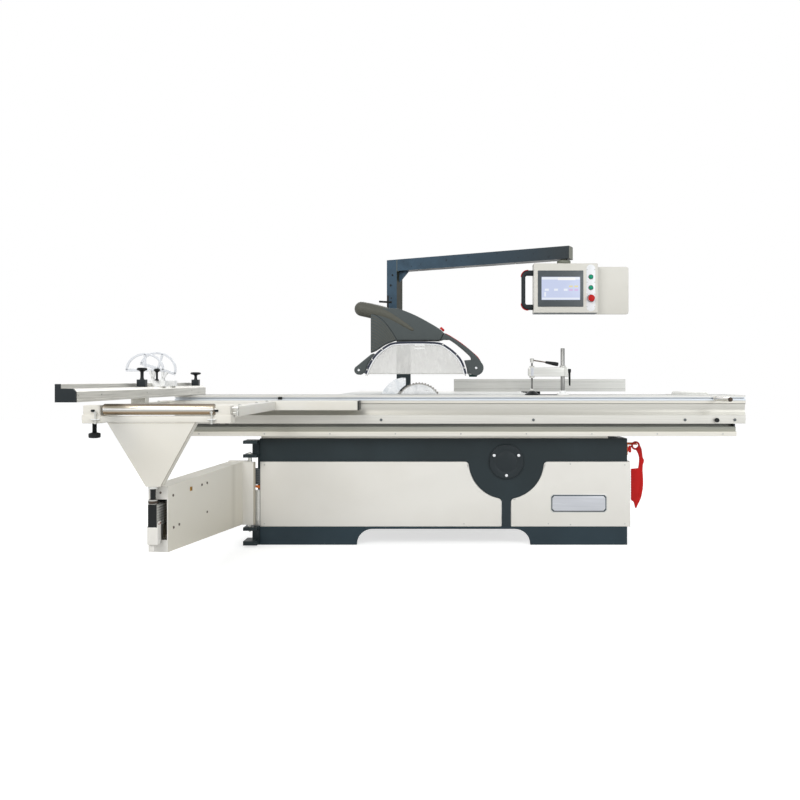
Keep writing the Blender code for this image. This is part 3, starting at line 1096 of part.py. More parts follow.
def pendant():
    """Box on its swivel under the boom, wide plate behind, U handle and three buttons."""
    pivot = (SWIVEL_X, SWIVEL_Y, PENDANT_TOP)
    right = PENDANT_LEFT + PENDANT_WIDTH
    back = PENDANT_FRONT + PENDANT_DEPTH
    body = add("pendant_box", box_mesh((PENDANT_LEFT, PENDANT_FRONT, PENDANT_BOTTOM), (right, back, PENDANT_TOP)),
               BEIGE, pivot)
    corner = 0.030
    plate = [(PENDANT_LEFT + 0.010, PENDANT_BOTTOM + 0.004)]
    plate += arc((SIDE_PLATE_RIGHT - corner, PENDANT_BOTTOM - 0.007 + corner), corner, 270, 360, 5)
    plate += arc((SIDE_PLATE_RIGHT - corner, PENDANT_TOP - 0.013 - corner), corner, 0, 90, 5)
    plate += [(PENDANT_LEFT + 0.010, PENDANT_TOP - 0.013)]
    join(body, plate_mesh([plate], "XZ", back - 0.020, back + 0.002))
    boom_bottom = ARM_TUBE_TOP - ARM_TUBE - GAP
    x = SWIVEL_X
    y = SWIVEL_Y
    join(body, rod_mesh((x, y, PENDANT_TOP - 0.01), (x, y, PENDANT_TOP + 0.022), 0.048, sides=32))
    join(body, rod_mesh((x, y, PENDANT_TOP + 0.020), (x, y, boom_bottom), 0.026))
    handle_left = 0.722
    middle = PENDANT_FRONT + PENDANT_DEPTH / 2
    low = PENDANT_BOTTOM + 0.038
    high = PENDANT_TOP - 0.046
    inner = PENDANT_LEFT - GAP
    bend = 0.030
    route = [(inner, low)] + arc((handle_left + bend, low + bend), bend, 270, 180, 5)
    route += arc((handle_left + bend, high - bend), bend, 180, 90, 5) + [(inner, high)]
    add("pendant_handle", tube_mesh([(u, middle, v) for u, v in route], 0.012), RED)
    front = PENDANT_FRONT - GAP
    for z, radius in ((1.683, BUTTON_RADIUS), (1.607, BUTTON_RADIUS), (1.532, STOP_STEM_RADIUS)):
        cut(body, rod_mesh((BUTTON_X, PENDANT_FRONT - 0.01, z), (BUTTON_X, PENDANT_FRONT + 0.006, z), radius + 0.0005))
    for name, z in (("start_button", 1.683), ("resume_button", 1.607)):
        profile = [(0, 0), (BUTTON_RADIUS, 0), (BUTTON_RADIUS, -0.008), (BUTTON_RADIUS - 0.002, -0.010), (0, -0.010)]
        add_turned(name, profile, "Y", (BUTTON_X, front, z), GREEN)
    profile = [(0, 0), (STOP_STEM_RADIUS, 0), (STOP_STEM_RADIUS, -0.014), (STOP_BUTTON_RADIUS, -0.016), (STOP_BUTTON_RADIUS, -0.022),
               (STOP_BUTTON_RADIUS - 0.004, -0.028), (0, -0.030)]
    add_turned("stop_button", profile, "Y", (BUTTON_X, front, 1.532), RED)


# ---- Rip fence ----

def fence_guide_bar():
    """Round bar beside the tables, on two brackets bolted to their right edges."""
    edge = MAIN_LEFT + MAIN_LENGTH + GAP
    z = GUIDE_BAR_Z
    near = 0.060
    far = COLUMN_FRONT - 0.010
    bar = add("fence_guide_bar", rod_mesh((GUIDE_BAR_X, near, z), (GUIDE_BAR_X, far, z), GUIDE_BAR_RADIUS), STEEL)
    outline = [(edge, 0.865), (edge, 0.765), (GUIDE_BAR_X + 0.020, 0.765), (GUIDE_BAR_X + 0.020, 0.792),
               (edge + 0.028, 0.792), (edge + 0.028, 0.815), (edge + 0.025, 0.865)]
    for y in (near + 0.030, far - 0.070):
        join(bar, plate_mesh([outline], "XZ", y, y + 0.040))


def rip_fence():
    """Carriage that rides on the guide bar, the tall profile and the clamping lever."""
    bottom = GUIDE_BAR_Z + GUIDE_BAR_RADIUS + GAP
    low_x = GUIDE_BAR_X - CARRIAGE_WIDTH / 2
    high_x = GUIDE_BAR_X + CARRIAGE_WIDTH / 2
    rear = RIP_FACE_Y + RIP_THICKNESS
    add("rip_fence_carriage", box_mesh((low_x, rear + GAP, bottom), (high_x, rear + GAP + CARRIAGE_DEPTH, 0.930)), BLACK)
    z = TABLE_HEIGHT + RIP_CLEARANCE
    outline = [(RIP_FACE_Y, z), (rear, z), (rear, z + RIP_HEIGHT), (RIP_FACE_Y, z + RIP_HEIGHT)]
    hollow = rectangle((RIP_FACE_Y + 0.004, z + 0.004), (rear - 0.004, z + RIP_HEIGHT - 0.004))
    add("rip_fence", plate_mesh([outline, hollow], "YZ", RIP_LEFT, RIP_LEFT + RIP_LENGTH), ALUMINIUM)
    hub = Vector((high_x + GAP, rear + 0.070, 0.890))
    lever = add("rip_fence_lever", rod_mesh(hub, hub + Vector((0.020, 0, 0)), 0.012), BLACK, hub)
    join(lever, rod_mesh(hub + Vector((0.012, 0, 0)), hub + Vector((0.014, 0, -0.085)), 0.008, 0.006, sides=12))


base_plinth()
top_frame()
well_cover()
front_panels()
rear_cover()
side_bracket()
isolator_knob()
push_stick()
guide_rail()
sliding_table()
push_handle()
table_lock_knob()
outrigger_frame()
support_roller()
support_triangle()
levelling_knob()
crosscut_fence()
fence_knobs()
stops()
clamp()
swing_arm()
arm_hinge_bracket()
main_table()
extension_table()
rear_column()
tilt_cradle()
rise_carriage()
riving_knife()
saw_blade()
saw_arbor()
belt_drive()
scoring_unit()
guard_boom()
boom_clamp_handle()
guard_hood()
guard_shield()
guard_button()
pendant_arm()
pendant()
fence_guide_bar()
rip_fence()
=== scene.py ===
import math

import bpy
import numpy as np
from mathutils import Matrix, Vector


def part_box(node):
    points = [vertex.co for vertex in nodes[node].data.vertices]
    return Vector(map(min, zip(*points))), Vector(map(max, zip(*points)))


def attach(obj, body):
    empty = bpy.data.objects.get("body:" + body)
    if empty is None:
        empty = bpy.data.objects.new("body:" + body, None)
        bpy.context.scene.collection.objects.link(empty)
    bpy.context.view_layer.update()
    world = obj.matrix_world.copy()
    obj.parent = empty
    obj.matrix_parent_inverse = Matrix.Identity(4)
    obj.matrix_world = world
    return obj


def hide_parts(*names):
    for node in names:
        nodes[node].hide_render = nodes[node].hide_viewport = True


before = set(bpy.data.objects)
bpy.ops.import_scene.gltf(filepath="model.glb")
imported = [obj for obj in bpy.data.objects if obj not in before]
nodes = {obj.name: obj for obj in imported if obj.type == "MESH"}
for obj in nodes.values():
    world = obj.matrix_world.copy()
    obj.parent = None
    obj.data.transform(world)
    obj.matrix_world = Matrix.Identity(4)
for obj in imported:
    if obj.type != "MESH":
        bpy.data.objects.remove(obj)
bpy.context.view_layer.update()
bladeLow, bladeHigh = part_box("saw_blade")
# positions below are measured from the floor under the middle of the saw blade
origin = np.array([(bladeLow.x + bladeHigh.x) / 2, (bladeLow.y + bladeHigh.y) / 2, 0.0])
originX, originY = float(origin[0]), float(origin[1])
mainBlade = {"radius": 0.15, "z": 0.794, "teeth": 48}
print("frame loaded:", len(nodes), "nodes")


class Wire:
    # one socket of a material; the operators add Math nodes to its tree
    def __init__(self, paint, socket):
        self.paint = paint
        self.socket = socket

    def maths(self, operation, *values):
        return self.paint.node("Math", {"operation": operation}, dict(enumerate(values)))

    def __add__(self, other):
        return self.maths("ADD", self, other)

    __radd__ = __add__

    def __sub__(self, other):
        return self.maths("SUBTRACT", self, other)

    def __rsub__(self, other):
        return self.maths("SUBTRACT", other, self)

    def __mul__(self, other):
        return self.maths("MULTIPLY", self, other)

    __rmul__ = __mul__

    def __gt__(self, other):
        return self.maths("GREATER_THAN", self, other)

    def __lt__(self, other):
        return self.maths("LESS_THAN", self, other)

    def clamp(self, low, high):
        # 0 at low, 1 at high, straight between them
        return self.paint.node("MapRange", {"clamp": True},
            {"Value": self, "From Min": low, "From Max": high})


def linear(code):
    # the linear colour of a six-digit colour code
    parts = np.array([int(code[k:k + 2], 16) / 255 for k in (0, 2, 4)])
    parts = np.where(parts <= 0.04045, parts / 12.92, ((parts + 0.055) / 1.055) ** 2.4)
    return (*(float(value) for value in parts), 1.0)


class Tree:
    # a node tree: one method makes any node, its settings first and then its values or links
    def __init__(self, tree):
        self.tree = tree

    def node(self, kind, settings, inputs, output=0):
        made = self.tree.nodes.new("ShaderNode" + kind)
        for key, value in settings.items():
            if key == "stops":
                ramp = made.color_ramp
                while len(ramp.elements) < len(value):
                    ramp.elements.new(1.0)
                for element, (place, colour) in zip(ramp.elements, value):
                    element.position = place
                    element.color = colour
            else:
                setattr(made, key, value)
        for key, value in inputs.items():
            self.feed(made.inputs[key], value)
        return Wire(self, made.outputs[output])

    def feed(self, socket, value):
        if isinstance(value, Wire):
            self.tree.links.new(value.socket, socket)
        else:
            socket.default_value = value

    def seenDirectly(self):
        # 1 for camera, mirror and see-through rays, 0 for the rays that light the object
        path = self.node("LightPath", {}, {}).socket.node.outputs
        eye, mirror, through = (Wire(self, path["Is %s Ray" % kind])
            for kind in ("Camera", "Glossy", "Transmission"))
        return eye.maths("MAXIMUM", eye.maths("MAXIMUM", eye, mirror), through)


class Paint(Tree):
    # a material with its Principled shader, and the few patterns that its finishes share
    def __init__(self, name, colour, roughness, metallic=0.0, **constants):
        self.material = bpy.data.materials.new(name)
        self.material.use_nodes = True
        super().__init__(self.material.node_tree)
        self.shader = self.tree.nodes["Principled BSDF"]
        self.set("Base Color", linear(colour))
        self.set("Roughness", roughness)
        self.set("Metallic", metallic)
        for key, value in constants.items():
            self.set(key.replace("_", " "), value)
        self.coords = self.node("TexCoord", {}, {}, "Object")

    def set(self, key, value):
        self.feed(self.shader.inputs[key], value)

    def noise(self, scale, detail=2.0, stretch=(1, 1, 1)):
        place = self.node("Mapping", {}, {"Vector": self.coords, "Scale": stretch})
        return self.node("TexNoise", {}, {"Vector": place, "Scale": scale, "Detail": detail,
            "Roughness": 0.5})

    def axis(self, letter):
        return self.node("SeparateXYZ", {}, {"Vector": self.coords}, letter)

    def mix(self, factor, first, second):
        # colours: first where factor is 0, second where it is 1
        return self.node("Mix", {"data_type": "RGBA"}, {0: factor, 6: first, 7: second}, 2)

    def ramp(self, bands, factor):
        # a colour for each height between the first and the last band
        low, high = bands[0][0], bands[-1][0]
        stops = [((at - low) / (high - low), linear(code)) for at, code in bands]
        return self.node("ValToRGB", {"stops": stops}, {"Fac": factor.clamp(low, high)})

    def bump(self, height, strength, distance):
        self.set("Normal", self.node("Bump", {}, {"Height": height, "Strength": strength,
            "Distance": distance}))


def powderCoat(name, colour, second, roughness=0.42, mottle=0.5, grain=700.0, **constants):
    # sprayed paint: fine orange peel, slow clouds of a second shade, specks of it and a few dull patches
    paint = Paint(name, colour, roughness, **constants)
    clouds = paint.noise(2.6, 3.0).clamp(0.4, 0.68) * mottle
    base = paint.mix(clouds, linear(colour), linear(second))
    specks = (paint.noise(190.0, 1.0) > 0.745) * 0.1
    base = paint.mix(specks, base, linear(second))
    paint.set("Base Color", base)
    paint.set("Roughness", paint.noise(7.0, 2.0) * 0.14 + (roughness - 0.07))
    paint.bump(paint.noise(grain, 1.0) + paint.noise(90.0, 1.0) * 0.6, 0.16, 0.0006)
    return paint


def brushedMetal(name, colour, second, roughness=0.34, metallic=0.85, stretch=(0.02, 1, 1), strength=0.1,
        **constants):
    # drawn or brushed metal: long fine streaks along one axis, soft stains, and a hairline bump
    paint = Paint(name, colour, roughness, metallic, **constants)
    streaks = paint.noise(260.0, 2.0, stretch)
    stains = paint.noise(5.0, 3.0)
    base = paint.mix(streaks.clamp(0.3, 0.7) * 0.55, linear(colour), linear(second))
    base = paint.mix(stains.clamp(0.52, 0.75) * 0.3, base, linear(second))
    paint.set("Base Color", base)
    paint.set("Roughness", streaks * 0.16 + stains * 0.14 + (roughness - 0.15))
    paint.bump(streaks, strength, 0.0004)
    return paint


def mouldedPlastic(name, colour, second, roughness=0.38, grain=900.0, depth=0.14, **constants):
    # moulded plastic: an even eroded grain, faint wear patches and a slow sheen change
    paint = Paint(name, colour, roughness, **constants)
    wear = paint.noise(22.0, 3.0).clamp(0.56, 0.8) * 0.35
    paint.set("Base Color", paint.mix(wear, linear(colour), linear(second)))
    paint.set("Roughness", paint.noise(30.0, 2.0) * 0.16 + (roughness - 0.08))
    paint.bump(paint.noise(grain, 1.0), depth, 0.0005)
    return paint


def shadedBandProfile(name, bands, roughness, second):
    # extruded profile: painted light and shade, as colour bands up its height, with streaks along X
    paint = Paint(name, "C8C8C4", roughness, 0.45)
    streaks = paint.noise(240.0, 2.0, (0.015, 1, 1))
    stains = paint.noise(3.5, 3.0, (0.6, 1, 1))
    base = paint.ramp(bands, paint.axis("Z"))
    base = paint.mix(streaks.clamp(0.35, 0.7) * 0.3, base, linear(second))
    base = paint.mix(stains.clamp(0.52, 0.72) * 0.2, base, linear(second))
    paint.set("Base Color", base)
    paint.set("Roughness", streaks * 0.14 + (roughness - 0.07))
    paint.bump(streaks, 0.08, 0.0003)
    return paint


matt = {"Specular_IOR_Level": 0.22}
# each row: name, colour, second colour, then the roughness and the other numbers its maker takes
recipes = {
    powderCoat: (
        ("panelBeige", "E4E1DA", "DBD7CE"),
        ("armBeige", "E1DED6", "D6D0C2"),
        ("foldShade", "B7B0A1", "A9A293"),
        ("pendantBeige", "DCD9D0", "D3CFC4", 0.42, 0.5, 1100.0),
        ("frameBlue", "232C2F", "2C383D", 0.45),
        ("footBlue", "2A3941", "222D33", 0.45),
        ("coverBlue", "22292C", "2A3236", 0.4),
        ("orange", "D9701E", "C2611A", 0.4),
    ),
    brushedMetal: (
        ("aluminium", "D2D2CE", "B9B9B4", 0.36, 0.7),
        ("plateSilver", "C3C5CA", "A9ACB2", 0.34, 0.55),
        ("rodSteel", "8E8E8C", "5F5E5C", 0.32, 0.9, (1, 1, 0.05), 0.06),
        ("zinc", "CFCFCB", "A9A9A4", 0.3, 0.9, (1, 1, 0.05), 0.06),
        ("steel", "BDBDBA", "94928D", 0.32, 0.92, (1, 1, 0.08), 0.08),
        ("chrome", "E4E2DE", "C9C4BB", 0.16, 1.0, (1, 0.03, 1), 0.02),
        ("brass", "B8860B", "8A6410", 0.34, 0.85, (1, 1, 0.2), 0.06),
        ("bladeSteel", "BBBDBD", "8F9091", 0.3, 0.85, (1, 1, 1), 0.06),
        ("castTable", "A9ABA9", "8C8E8C", 0.36, 0.75, (0.05, 1, 1), 0.1),
        ("bronze", "4B4038", "2E2823", 0.4, 0.75, (1, 1, 0.3), 0.06),
        ("rust", "8A3B22", "6A2D1A", 0.45, 0.4, (1, 1, 1), 0.06),
        ("darkRod", "7C726A", "4E4742", 0.3, 0.85, (1, 1, 0.05), 0.05),
        ("fenceMetal", "D4D2CB", "A5A49C", 0.38, 0.55, (1, 0.015, 1), 0.1),
    ),
    mouldedPlastic: (
        ("castHousing", "5A5F61", "6E7274", 0.55, 300.0, 0.3),
        ("black", "131617", "1E2224"),
        ("darkGrey", "21272A", "2D3437", 0.42),
        ("hoodGrey", "4A5050", "414647", 0.5, 1100.0, 0.2),
        ("hoodTubeGrey", "57574F", "4B4C46", 0.5, 1100.0, 0.2),
        ("bandViolet", "2C3040", "3D4153", 0.35),
        ("red", "BE120F", "A30D0B", 0.38, 1200.0, 0.06),
        ("green", "0A9570", "087A5C", 0.34, 1200.0, 0.05),
        ("rubber", "1B1B1B", "262626", 0.7, 500.0, 0.35),
        ("endOlive", "6F7164", "8C8E80", 0.45, 500.0, 0.2),
        ("noseGreen", "173D39", "1E4A45", 0.45),
        ("whitePlastic", "F0F0EE", "E4E4E1", 0.3, 1200.0, 0.05),
        ("stripWhite", "EDEEF0", "E2E3E8", 0.28, 1200.0, 0.04),
        ("bezelGrey", "3E464A", "4A5357", 0.35),
    ),
}
mattNames = ("frameBlue", "footBlue", "coverBlue", "black", "darkGrey", "hoodGrey", "hoodTubeGrey",
    "bandViolet", "red", "green", "noseGreen")
finishes = {row[0]: maker(*row, **(matt if row[0] in mattNames else {})) for maker, rows in recipes.items()
    for row in rows}


def clearPlastic(name, colour, alpha, roughness):
    # clear sheet: mostly see-through, more solid where it is scuffed
    paint = Paint(name, colour, roughness, Coat_Weight=0.6)
    scuffs = paint.noise(34.0, 4.0, (1, 1, 0.35)).clamp(0.5, 0.78)
    smears = paint.noise(5.0, 2.0).clamp(0.35, 0.75)
    paint.set("Alpha", scuffs * 0.22 + smears * 0.16 + alpha)
    paint.set("Roughness", smears * 0.15 + roughness)
    paint.bump(paint.noise(12.0, 2.0), 0.12, 0.002)
    return paint


finishes["shieldClear"] = clearPlastic("shieldClear", "ECEBE8", 0.36, 0.12)
finishes["stopClear"] = clearPlastic("stopClear", "E4E6EA", 0.82, 0.14)
# rail: a bright lit flange low down, a dark line, then darker upwards into the painted shadow under the table
finishes["railProfile"] = shadedBandProfile("railProfile", [(0.63, "D9D6CE"), (0.655, "DDD9D0"), (0.66, "E4E0D4"),
    (0.664, "9B9A8E"), (0.69, "7E8079"), (0.705, "56595A"), (0.708, "56595A")], 0.4, "B6B3A8")
# table: painted light and shade on its profile: pale lit faces, dark lines, a hollow face darker towards its
# foot, and pale bluish bands near the top
finishes["tableProfile"] = shadedBandProfile("tableProfile",
    [(0.7075, "CFCDC6"), (0.756, "D8D6CF"), (0.76, "A7A59C"), (0.79, "BDBBB3"), (0.8195, "D6D4CD"),
    (0.8225, "8B8A85"), (0.826, "DAD6CB"), (0.838, "DCD9D0"), (0.842, "D3DCE6"), (0.857, "D9DFE6"),
    (0.862, "DEDCD6"), (0.868, "D6D5D1"), (0.8705, "D6D5D1")], 0.38, "B4B2AB")


def nearZero(value, reach):
    # 1 where the value is 0, falling to 0 at the reach on both sides
    return value.maths("ABSOLUTE", value).clamp(reach, 0.0)


def rollerReflectionBands():
    # polished sleeve with painted reflections: a pale top, a bright painted highlight line, then dark brown
    # and beige bands of painted reflection round its length
    paint = Paint("rollerReflectionBands", "D8D2C8", 0.2, 0.55)
    # painted reflection and painted highlight: colour bands set by height round the sleeve
    bands = [(0.804, "E4E0D8"), (0.809, "A08A6C"), (0.815, "8A7052"), (0.8185, "9C8C76"), (0.8215, "A5A29C"),
        (0.8245, "8D8C89"), (0.827, "F2F1EE"), (0.832, "FBFAF8"), (0.8345, "C9C1B3"), (0.84, "C6BBA8"),
        (0.846, "8B7B66"), (0.85, "5E4F40"), (0.853, "6B5D4E")]
    base = paint.ramp(bands, paint.axis("Z") + (paint.noise(3.0, 2.0) - 0.5) * 0.002)
    streaks = paint.noise(160.0, 2.0, (0.02, 1, 1))
    base = paint.mix(streaks.clamp(0.4, 0.75) * 0.25, base, linear("D9D3C6"))
    paint.set("Base Color", base)
    paint.set("Roughness", streaks * 0.14 + 0.14)
    paint.bump(streaks, 0.04, 0.0003)
    return paint


def sawSteel(name, colour, second, edge, radius, metallic):
    # disc steel: turned rings and clouds, with a darker ground band at the teeth
    paint = Paint(name, colour, 0.3, metallic)
    x = paint.axis("X") - originX
    z = paint.axis("Z") - mainBlade["z"]
    distance = (x * x + z * z).maths("SQRT", x * x + z * z)
    clouds = paint.noise(30.0, 4.0).clamp(0.42, 0.62) * 0.6
    rings = paint.noise(220.0, 1.0, (1, 1, 1))
    base = paint.mix(clouds, linear(colour), linear(second))
    base = paint.mix(distance.clamp(radius - 0.016, radius - 0.01) * 0.85, base, linear(edge))
    paint.set("Base Color", base)
    paint.set("Roughness", rings * 0.16 + 0.2)
    paint.bump(distance.maths("SINE", distance * 2200.0), 0.05, 0.0002)
    return paint


def boomPaint(name, leftX, rightX):
    # blotchy blue paint that darkens to the right; the faces turned to +X take a dark olive colour and the
    # underside gets painted shade
    paint = Paint(name, "566B7B", 0.42, **matt)
    along = paint.axis("X").clamp(leftX + originX, rightX + originX)
    base = paint.mix(along, linear("43596A"), linear("262E31"))
    clouds = paint.noise(9.0, 4.0).clamp(0.45, 0.7)
    base = paint.mix(clouds * 0.45, base, linear("2C3A44"))
    spots = paint.noise(38.0, 2.0).clamp(0.68, 0.74)
    base = paint.mix(spots * 0.7, base, linear("1C2227"))
    facing = paint.node("SeparateXYZ", {}, {"Vector": paint.node("TexCoord", {}, {},
        "Normal")}).socket.node.outputs
    # faces turned to +X get a dark olive colour; faces turned down get painted shade, near black
    side = Wire(paint, facing["X"]).clamp(0.7, 0.8)
    under = Wire(paint, facing["Z"]).clamp(-0.6, -0.8)
    base = paint.mix(side, base, linear("35372F"))
    base = paint.mix(under, base, linear("15191B"))
    paint.set("Base Color", base)
    paint.set("Roughness", clouds * 0.16 + 0.34)
    paint.bump(paint.noise(60.0, 2.0) + spots * 0.4, 0.2, 0.0008)
    return paint


def armPaint():
    # warm beige sheet with painted shade along the hollow near the heel, darker and warmer towards its lower
    # edge
    paint = Paint("armPaint", "DDD9CD", 0.42)
    height = paint.axis("Z").clamp(0.48, 0.15)
    base = paint.mix(height * 0.55, linear("E2DED3"), linear("D2CAB6"))
    # painted shade: a soft dark band along the hollow where the side turns into the heel
    creaseShade = nearZero(paint.axis("Y") + (0.545 - originY), 0.05)
    base = paint.mix(creaseShade * 0.35, base, linear("B3AC9C"))
    base = paint.mix(paint.noise(3.0, 2.0).clamp(0.45, 0.7) * 0.3, base, linear("D6D0C2"))
    paint.set("Base Color", base)
    paint.set("Roughness", paint.noise(7.0, 2.0) * 0.14 + 0.36)
    paint.bump(paint.noise(700.0, 1.0), 0.16, 0.0006)
    return paint


finishes["roller"] = rollerReflectionBands()
finishes["sawBladeSteel"] = sawSteel("sawBladeSteel", "ECEDEE", "BFC2C4", "86827A", mainBlade["radius"], 0.6)
finishes["knifeSteel"] = sawSteel("knifeSteel", "EEF0F2", "C9D0D6", "D5DADE", 0.4, 0.45)
finishes["armSheet"] = armPaint()
finishes["boomBlue"] = boomPaint("boomBlue", -0.1, 1.05)
finishes["postBlue"] = boomPaint("postBlue", -0.1, 1.05)
print("finishes made:", len(finishes))


planes = {
    "XZ": np.array([[1, 0, 0], [0, 0, 1], [0, 1, 0]], float),
    "YZ": np.array([[0, 1, 0], [0, 0, 1], [1, 0, 0]], float),
    "XY": np.array([[1, 0, 0], [0, 1, 0], [0, 0, 1]], float),
}


def sheetFaces(rows, columns, closed):
    # four-cornered faces over a grid; closed joins the last column to the first
    row, column = np.meshgrid(np.arange(rows - 1), np.arange(columns if closed else columns - 1),
        indexing="ij")
    after = (column + 1) % columns
    corners = [row * columns + column, row * columns + after, (row + 1) * columns + after,
        (row + 1) * columns + column]
    return np.stack(corners, -1).reshape(-1, 4)


def outward(points, faces):
    # a closed shape whose volume comes out negative is inside out, so its faces are turned round
    volume = 0.0
    for corners in (np.array([f for f in faces if len(f) == size]) for size in {len(f) for f in faces}):
        for k in range(1, corners.shape[1] - 1):
            a, b, c = (points[corners[:, j]] for j in (0, k, k + 1))
            volume += float(np.einsum("ij,ij->i", a, np.cross(b, c)).sum())
    return points, ([f[::-1] for f in faces] if volume < 0 else faces)


def lofted(rings):
    # closed rings carried one after another, with a flat face over the first and the last
    rings = np.asarray(rings, float)
    count, size = rings.shape[:2]
    faces = sheetFaces(count, size, True).tolist()
    faces += [list(range(size))[::-1], list(range((count - 1) * size, count * size))]
    return outward(rings.reshape(-1, 3), faces)


def inset(outline, amount):
    # each corner moves inwards along the mean of its two edges' normals, so that both edges move by the
    # amount
    outline = np.asarray(outline, float)
    edge = np.roll(outline, -1, 0) - outline
    edge /= np.maximum(np.linalg.norm(edge, axis=1, keepdims=True), 1e-9)
    area = np.sum(outline[:, 0] * np.roll(outline[:, 1], -1) - np.roll(outline[:, 0], -1) * outline[:, 1])
    normal = np.stack([-edge[:, 1], edge[:, 0]], 1) * (1 if area > 0 else -1)
    mean = normal + np.roll(normal, 1, 0)
    share = np.maximum(np.sum(mean * mean, 1, keepdims=True) / 2, 0.5)
    return outline + mean / share * amount


def slab(outline, plane, low, high, edge=0.002, steps=3):
    # a flat outline carried from low to high across its plane, its rims rounded over a quarter circle of
    # radius edge
    outline = np.asarray(outline, float)
    angles = np.linspace(0, math.pi / 2, steps + 1)
    pulls = edge * (1 - np.sin(angles))
    rises = edge * (1 - np.cos(angles))
    layers = [(pull, low + rise) for pull, rise in zip(pulls, rises)]
    layers += [(pull, high - rise) for pull, rise in zip(pulls[::-1], rises[::-1])]
    rings = []
    for pull, depth in layers:
        flat = inset(outline, pull)
        rings.append(np.column_stack([flat, np.full(len(flat), depth)]) @ planes[plane])
    return lofted(rings)


def arc(centre, radius, start, end, steps, height=None):
    # points round a circle, or an ellipse with its own height, from one angle to the other in degrees
    angle = np.radians(np.linspace(start, end, steps + 1))
    tall = radius if height is None else height
    return np.column_stack([centre[0] + radius * np.cos(angle), centre[1] + tall * np.sin(angle)])


def roundRect(low, high, radius, steps=4):
    # a rectangle with its corners on quarter circles
    (a, b), (c, d) = low, high
    corners = [((c - radius, b + radius), -90), ((c - radius, d - radius), 0), ((a + radius, d - radius), 90),
        ((a + radius, b + radius), 180)]
    return np.vstack([arc(centre, radius, start, start + 90, steps) for centre, start in corners])


def block(low, high, edge=0.002, corner=None, plane="XY"):
    # a box with rounded corners in one plane and rounded rims across it
    keep = {"XY": (0, 1, 2), "XZ": (0, 2, 1), "YZ": (1, 2, 0)}[plane]
    low = [low[k] for k in keep]
    high = [high[k] for k in keep]
    outline = roundRect(low[:2], high[:2], edge * 1.5 if corner is None else corner)
    return slab(outline, plane, low[2], high[2], edge)


def basis(direction):
    # two unit vectors square to a direction
    along = np.asarray(direction, float)
    along = along / np.linalg.norm(along)
    helper = np.array([0, 0, 1.0]) if abs(along[2]) < 0.9 else np.array([1.0, 0, 0])
    side = np.cross(helper, along)
    side /= np.linalg.norm(side)
    return side, np.cross(along, side), along


def turned(profile, centre, direction=(0, 0, 1), sides=32):
    # a profile of (radius, height) spun about a direction: centre + radius (cos t side + sin t up) + height
    # along
    side, up, along = basis(direction)
    profile = np.asarray(profile, float)
    angle = np.linspace(0, 2 * math.pi, sides, endpoint=False)
    circle = np.cos(angle)[:, None] * side + np.sin(angle)[:, None] * up
    radii = np.maximum(profile[:, 0], 1e-5)
    rings = np.asarray(centre, float) + radii[:, None, None] * circle + profile[:, 1][:, None, None] * along
    return lofted(rings)


def rod(radius, height):
    # profile of a plain round bar
    return [(0, 0), (radius, 0), (radius, height), (0, height)]


def dome(radius, height, base=0.0, steps=5):
    # profile of a round head: straight up from the base, then a quarter ellipse to the middle
    angle = np.linspace(0, math.pi / 2, steps + 1)
    start = [(0, base), (radius, base)]
    return start + [(radius * math.cos(a), base + height * (0.35 + 0.65 * math.sin(a))) for a in angle]


def tube(path, radius, sides=12, flat=1.0, tips=True, bulge=0.6):
    # an ellipse carried along a path and kept square to it; flat is its height over its width, and may change
    # too
    path = np.asarray(path, float)
    step = np.gradient(path, axis=0)
    step /= np.linalg.norm(step, axis=1, keepdims=True)
    radius = np.broadcast_to(np.asarray(radius, float), len(path))
    flat = np.broadcast_to(np.asarray(flat, float), len(path))
    side, up, _ = basis(step[0])
    angle = np.linspace(0, 2 * math.pi, sides, endpoint=False)
    rings = []
    for point, along, size, share in zip(path, step, radius, flat):
        side = side - along * np.dot(side, along)
        side /= np.linalg.norm(side)
        up = np.cross(along, side)
        rings.append(point + size * (np.cos(angle)[:, None] * side + share * np.sin(angle)[:, None] * up))
    if tips:
        # the ends close as part of an ellipsoid: each ring shrinks by the cosine and moves out by the sine
        turns = np.radians((20, 40, 58, 74, 86))
        ends = []
        for ring, point, way, size in ((rings[0], path[0], -step[0], radius[0] * flat[0]),
                (rings[-1], path[-1], step[-1], radius[-1] * flat[-1])):
            ends.append([point + (ring - point) * math.cos(turn) + way * size * bulge * math.sin(turn)
                for turn in turns])
        rings = ends[0][::-1] + rings + ends[1]
    return lofted(rings)


def bar(path, across, width, depth, edge=0.0015):
    # a rounded rectangle carried along a path; across is the direction of its width
    path = np.asarray(path, float)
    step = np.gradient(path, axis=0)
    step /= np.linalg.norm(step, axis=1, keepdims=True)
    across = np.asarray(across, float)
    section = roundRect((-width / 2, -depth / 2), (width / 2, depth / 2), edge, 3)
    rings = []
    for point, along in zip(path, step):
        third = np.cross(along, across)
        third /= np.linalg.norm(third)
        rings.append(point + section[:, :1] * across + section[:, 1:] * third)
    return lofted(rings)


def sideLine(points, y):
    # a line of (x, z) points set at one depth
    points = np.asarray(points, float)
    return np.column_stack([points[:, 0], np.full(len(points), y), points[:, 1]])


def sideBar(points, y, *sizes):
    # a bar along (x, z) points at one depth, its width square to them
    return bar(sideLine(points, y), (0, 1, 0), *sizes)


def loop(centre, radius, y):
    # a full circle of (x, z) points at one depth
    return sideLine(arc(centre, radius, 0, 360, 36), y)


def spun(angle, centre, points):
    # points turned about an axis along Y through centre, by an angle in degrees
    a = math.radians(angle)
    turn = np.array([[math.cos(a), 0, -math.sin(a)], [0, 1, 0], [math.sin(a), 0, math.cos(a)]])
    return (np.asarray(points, float) - centre) @ turn + centre


armAngle = math.radians(-4.0)
armAt = np.array([-0.968, -0.375, 0.0])


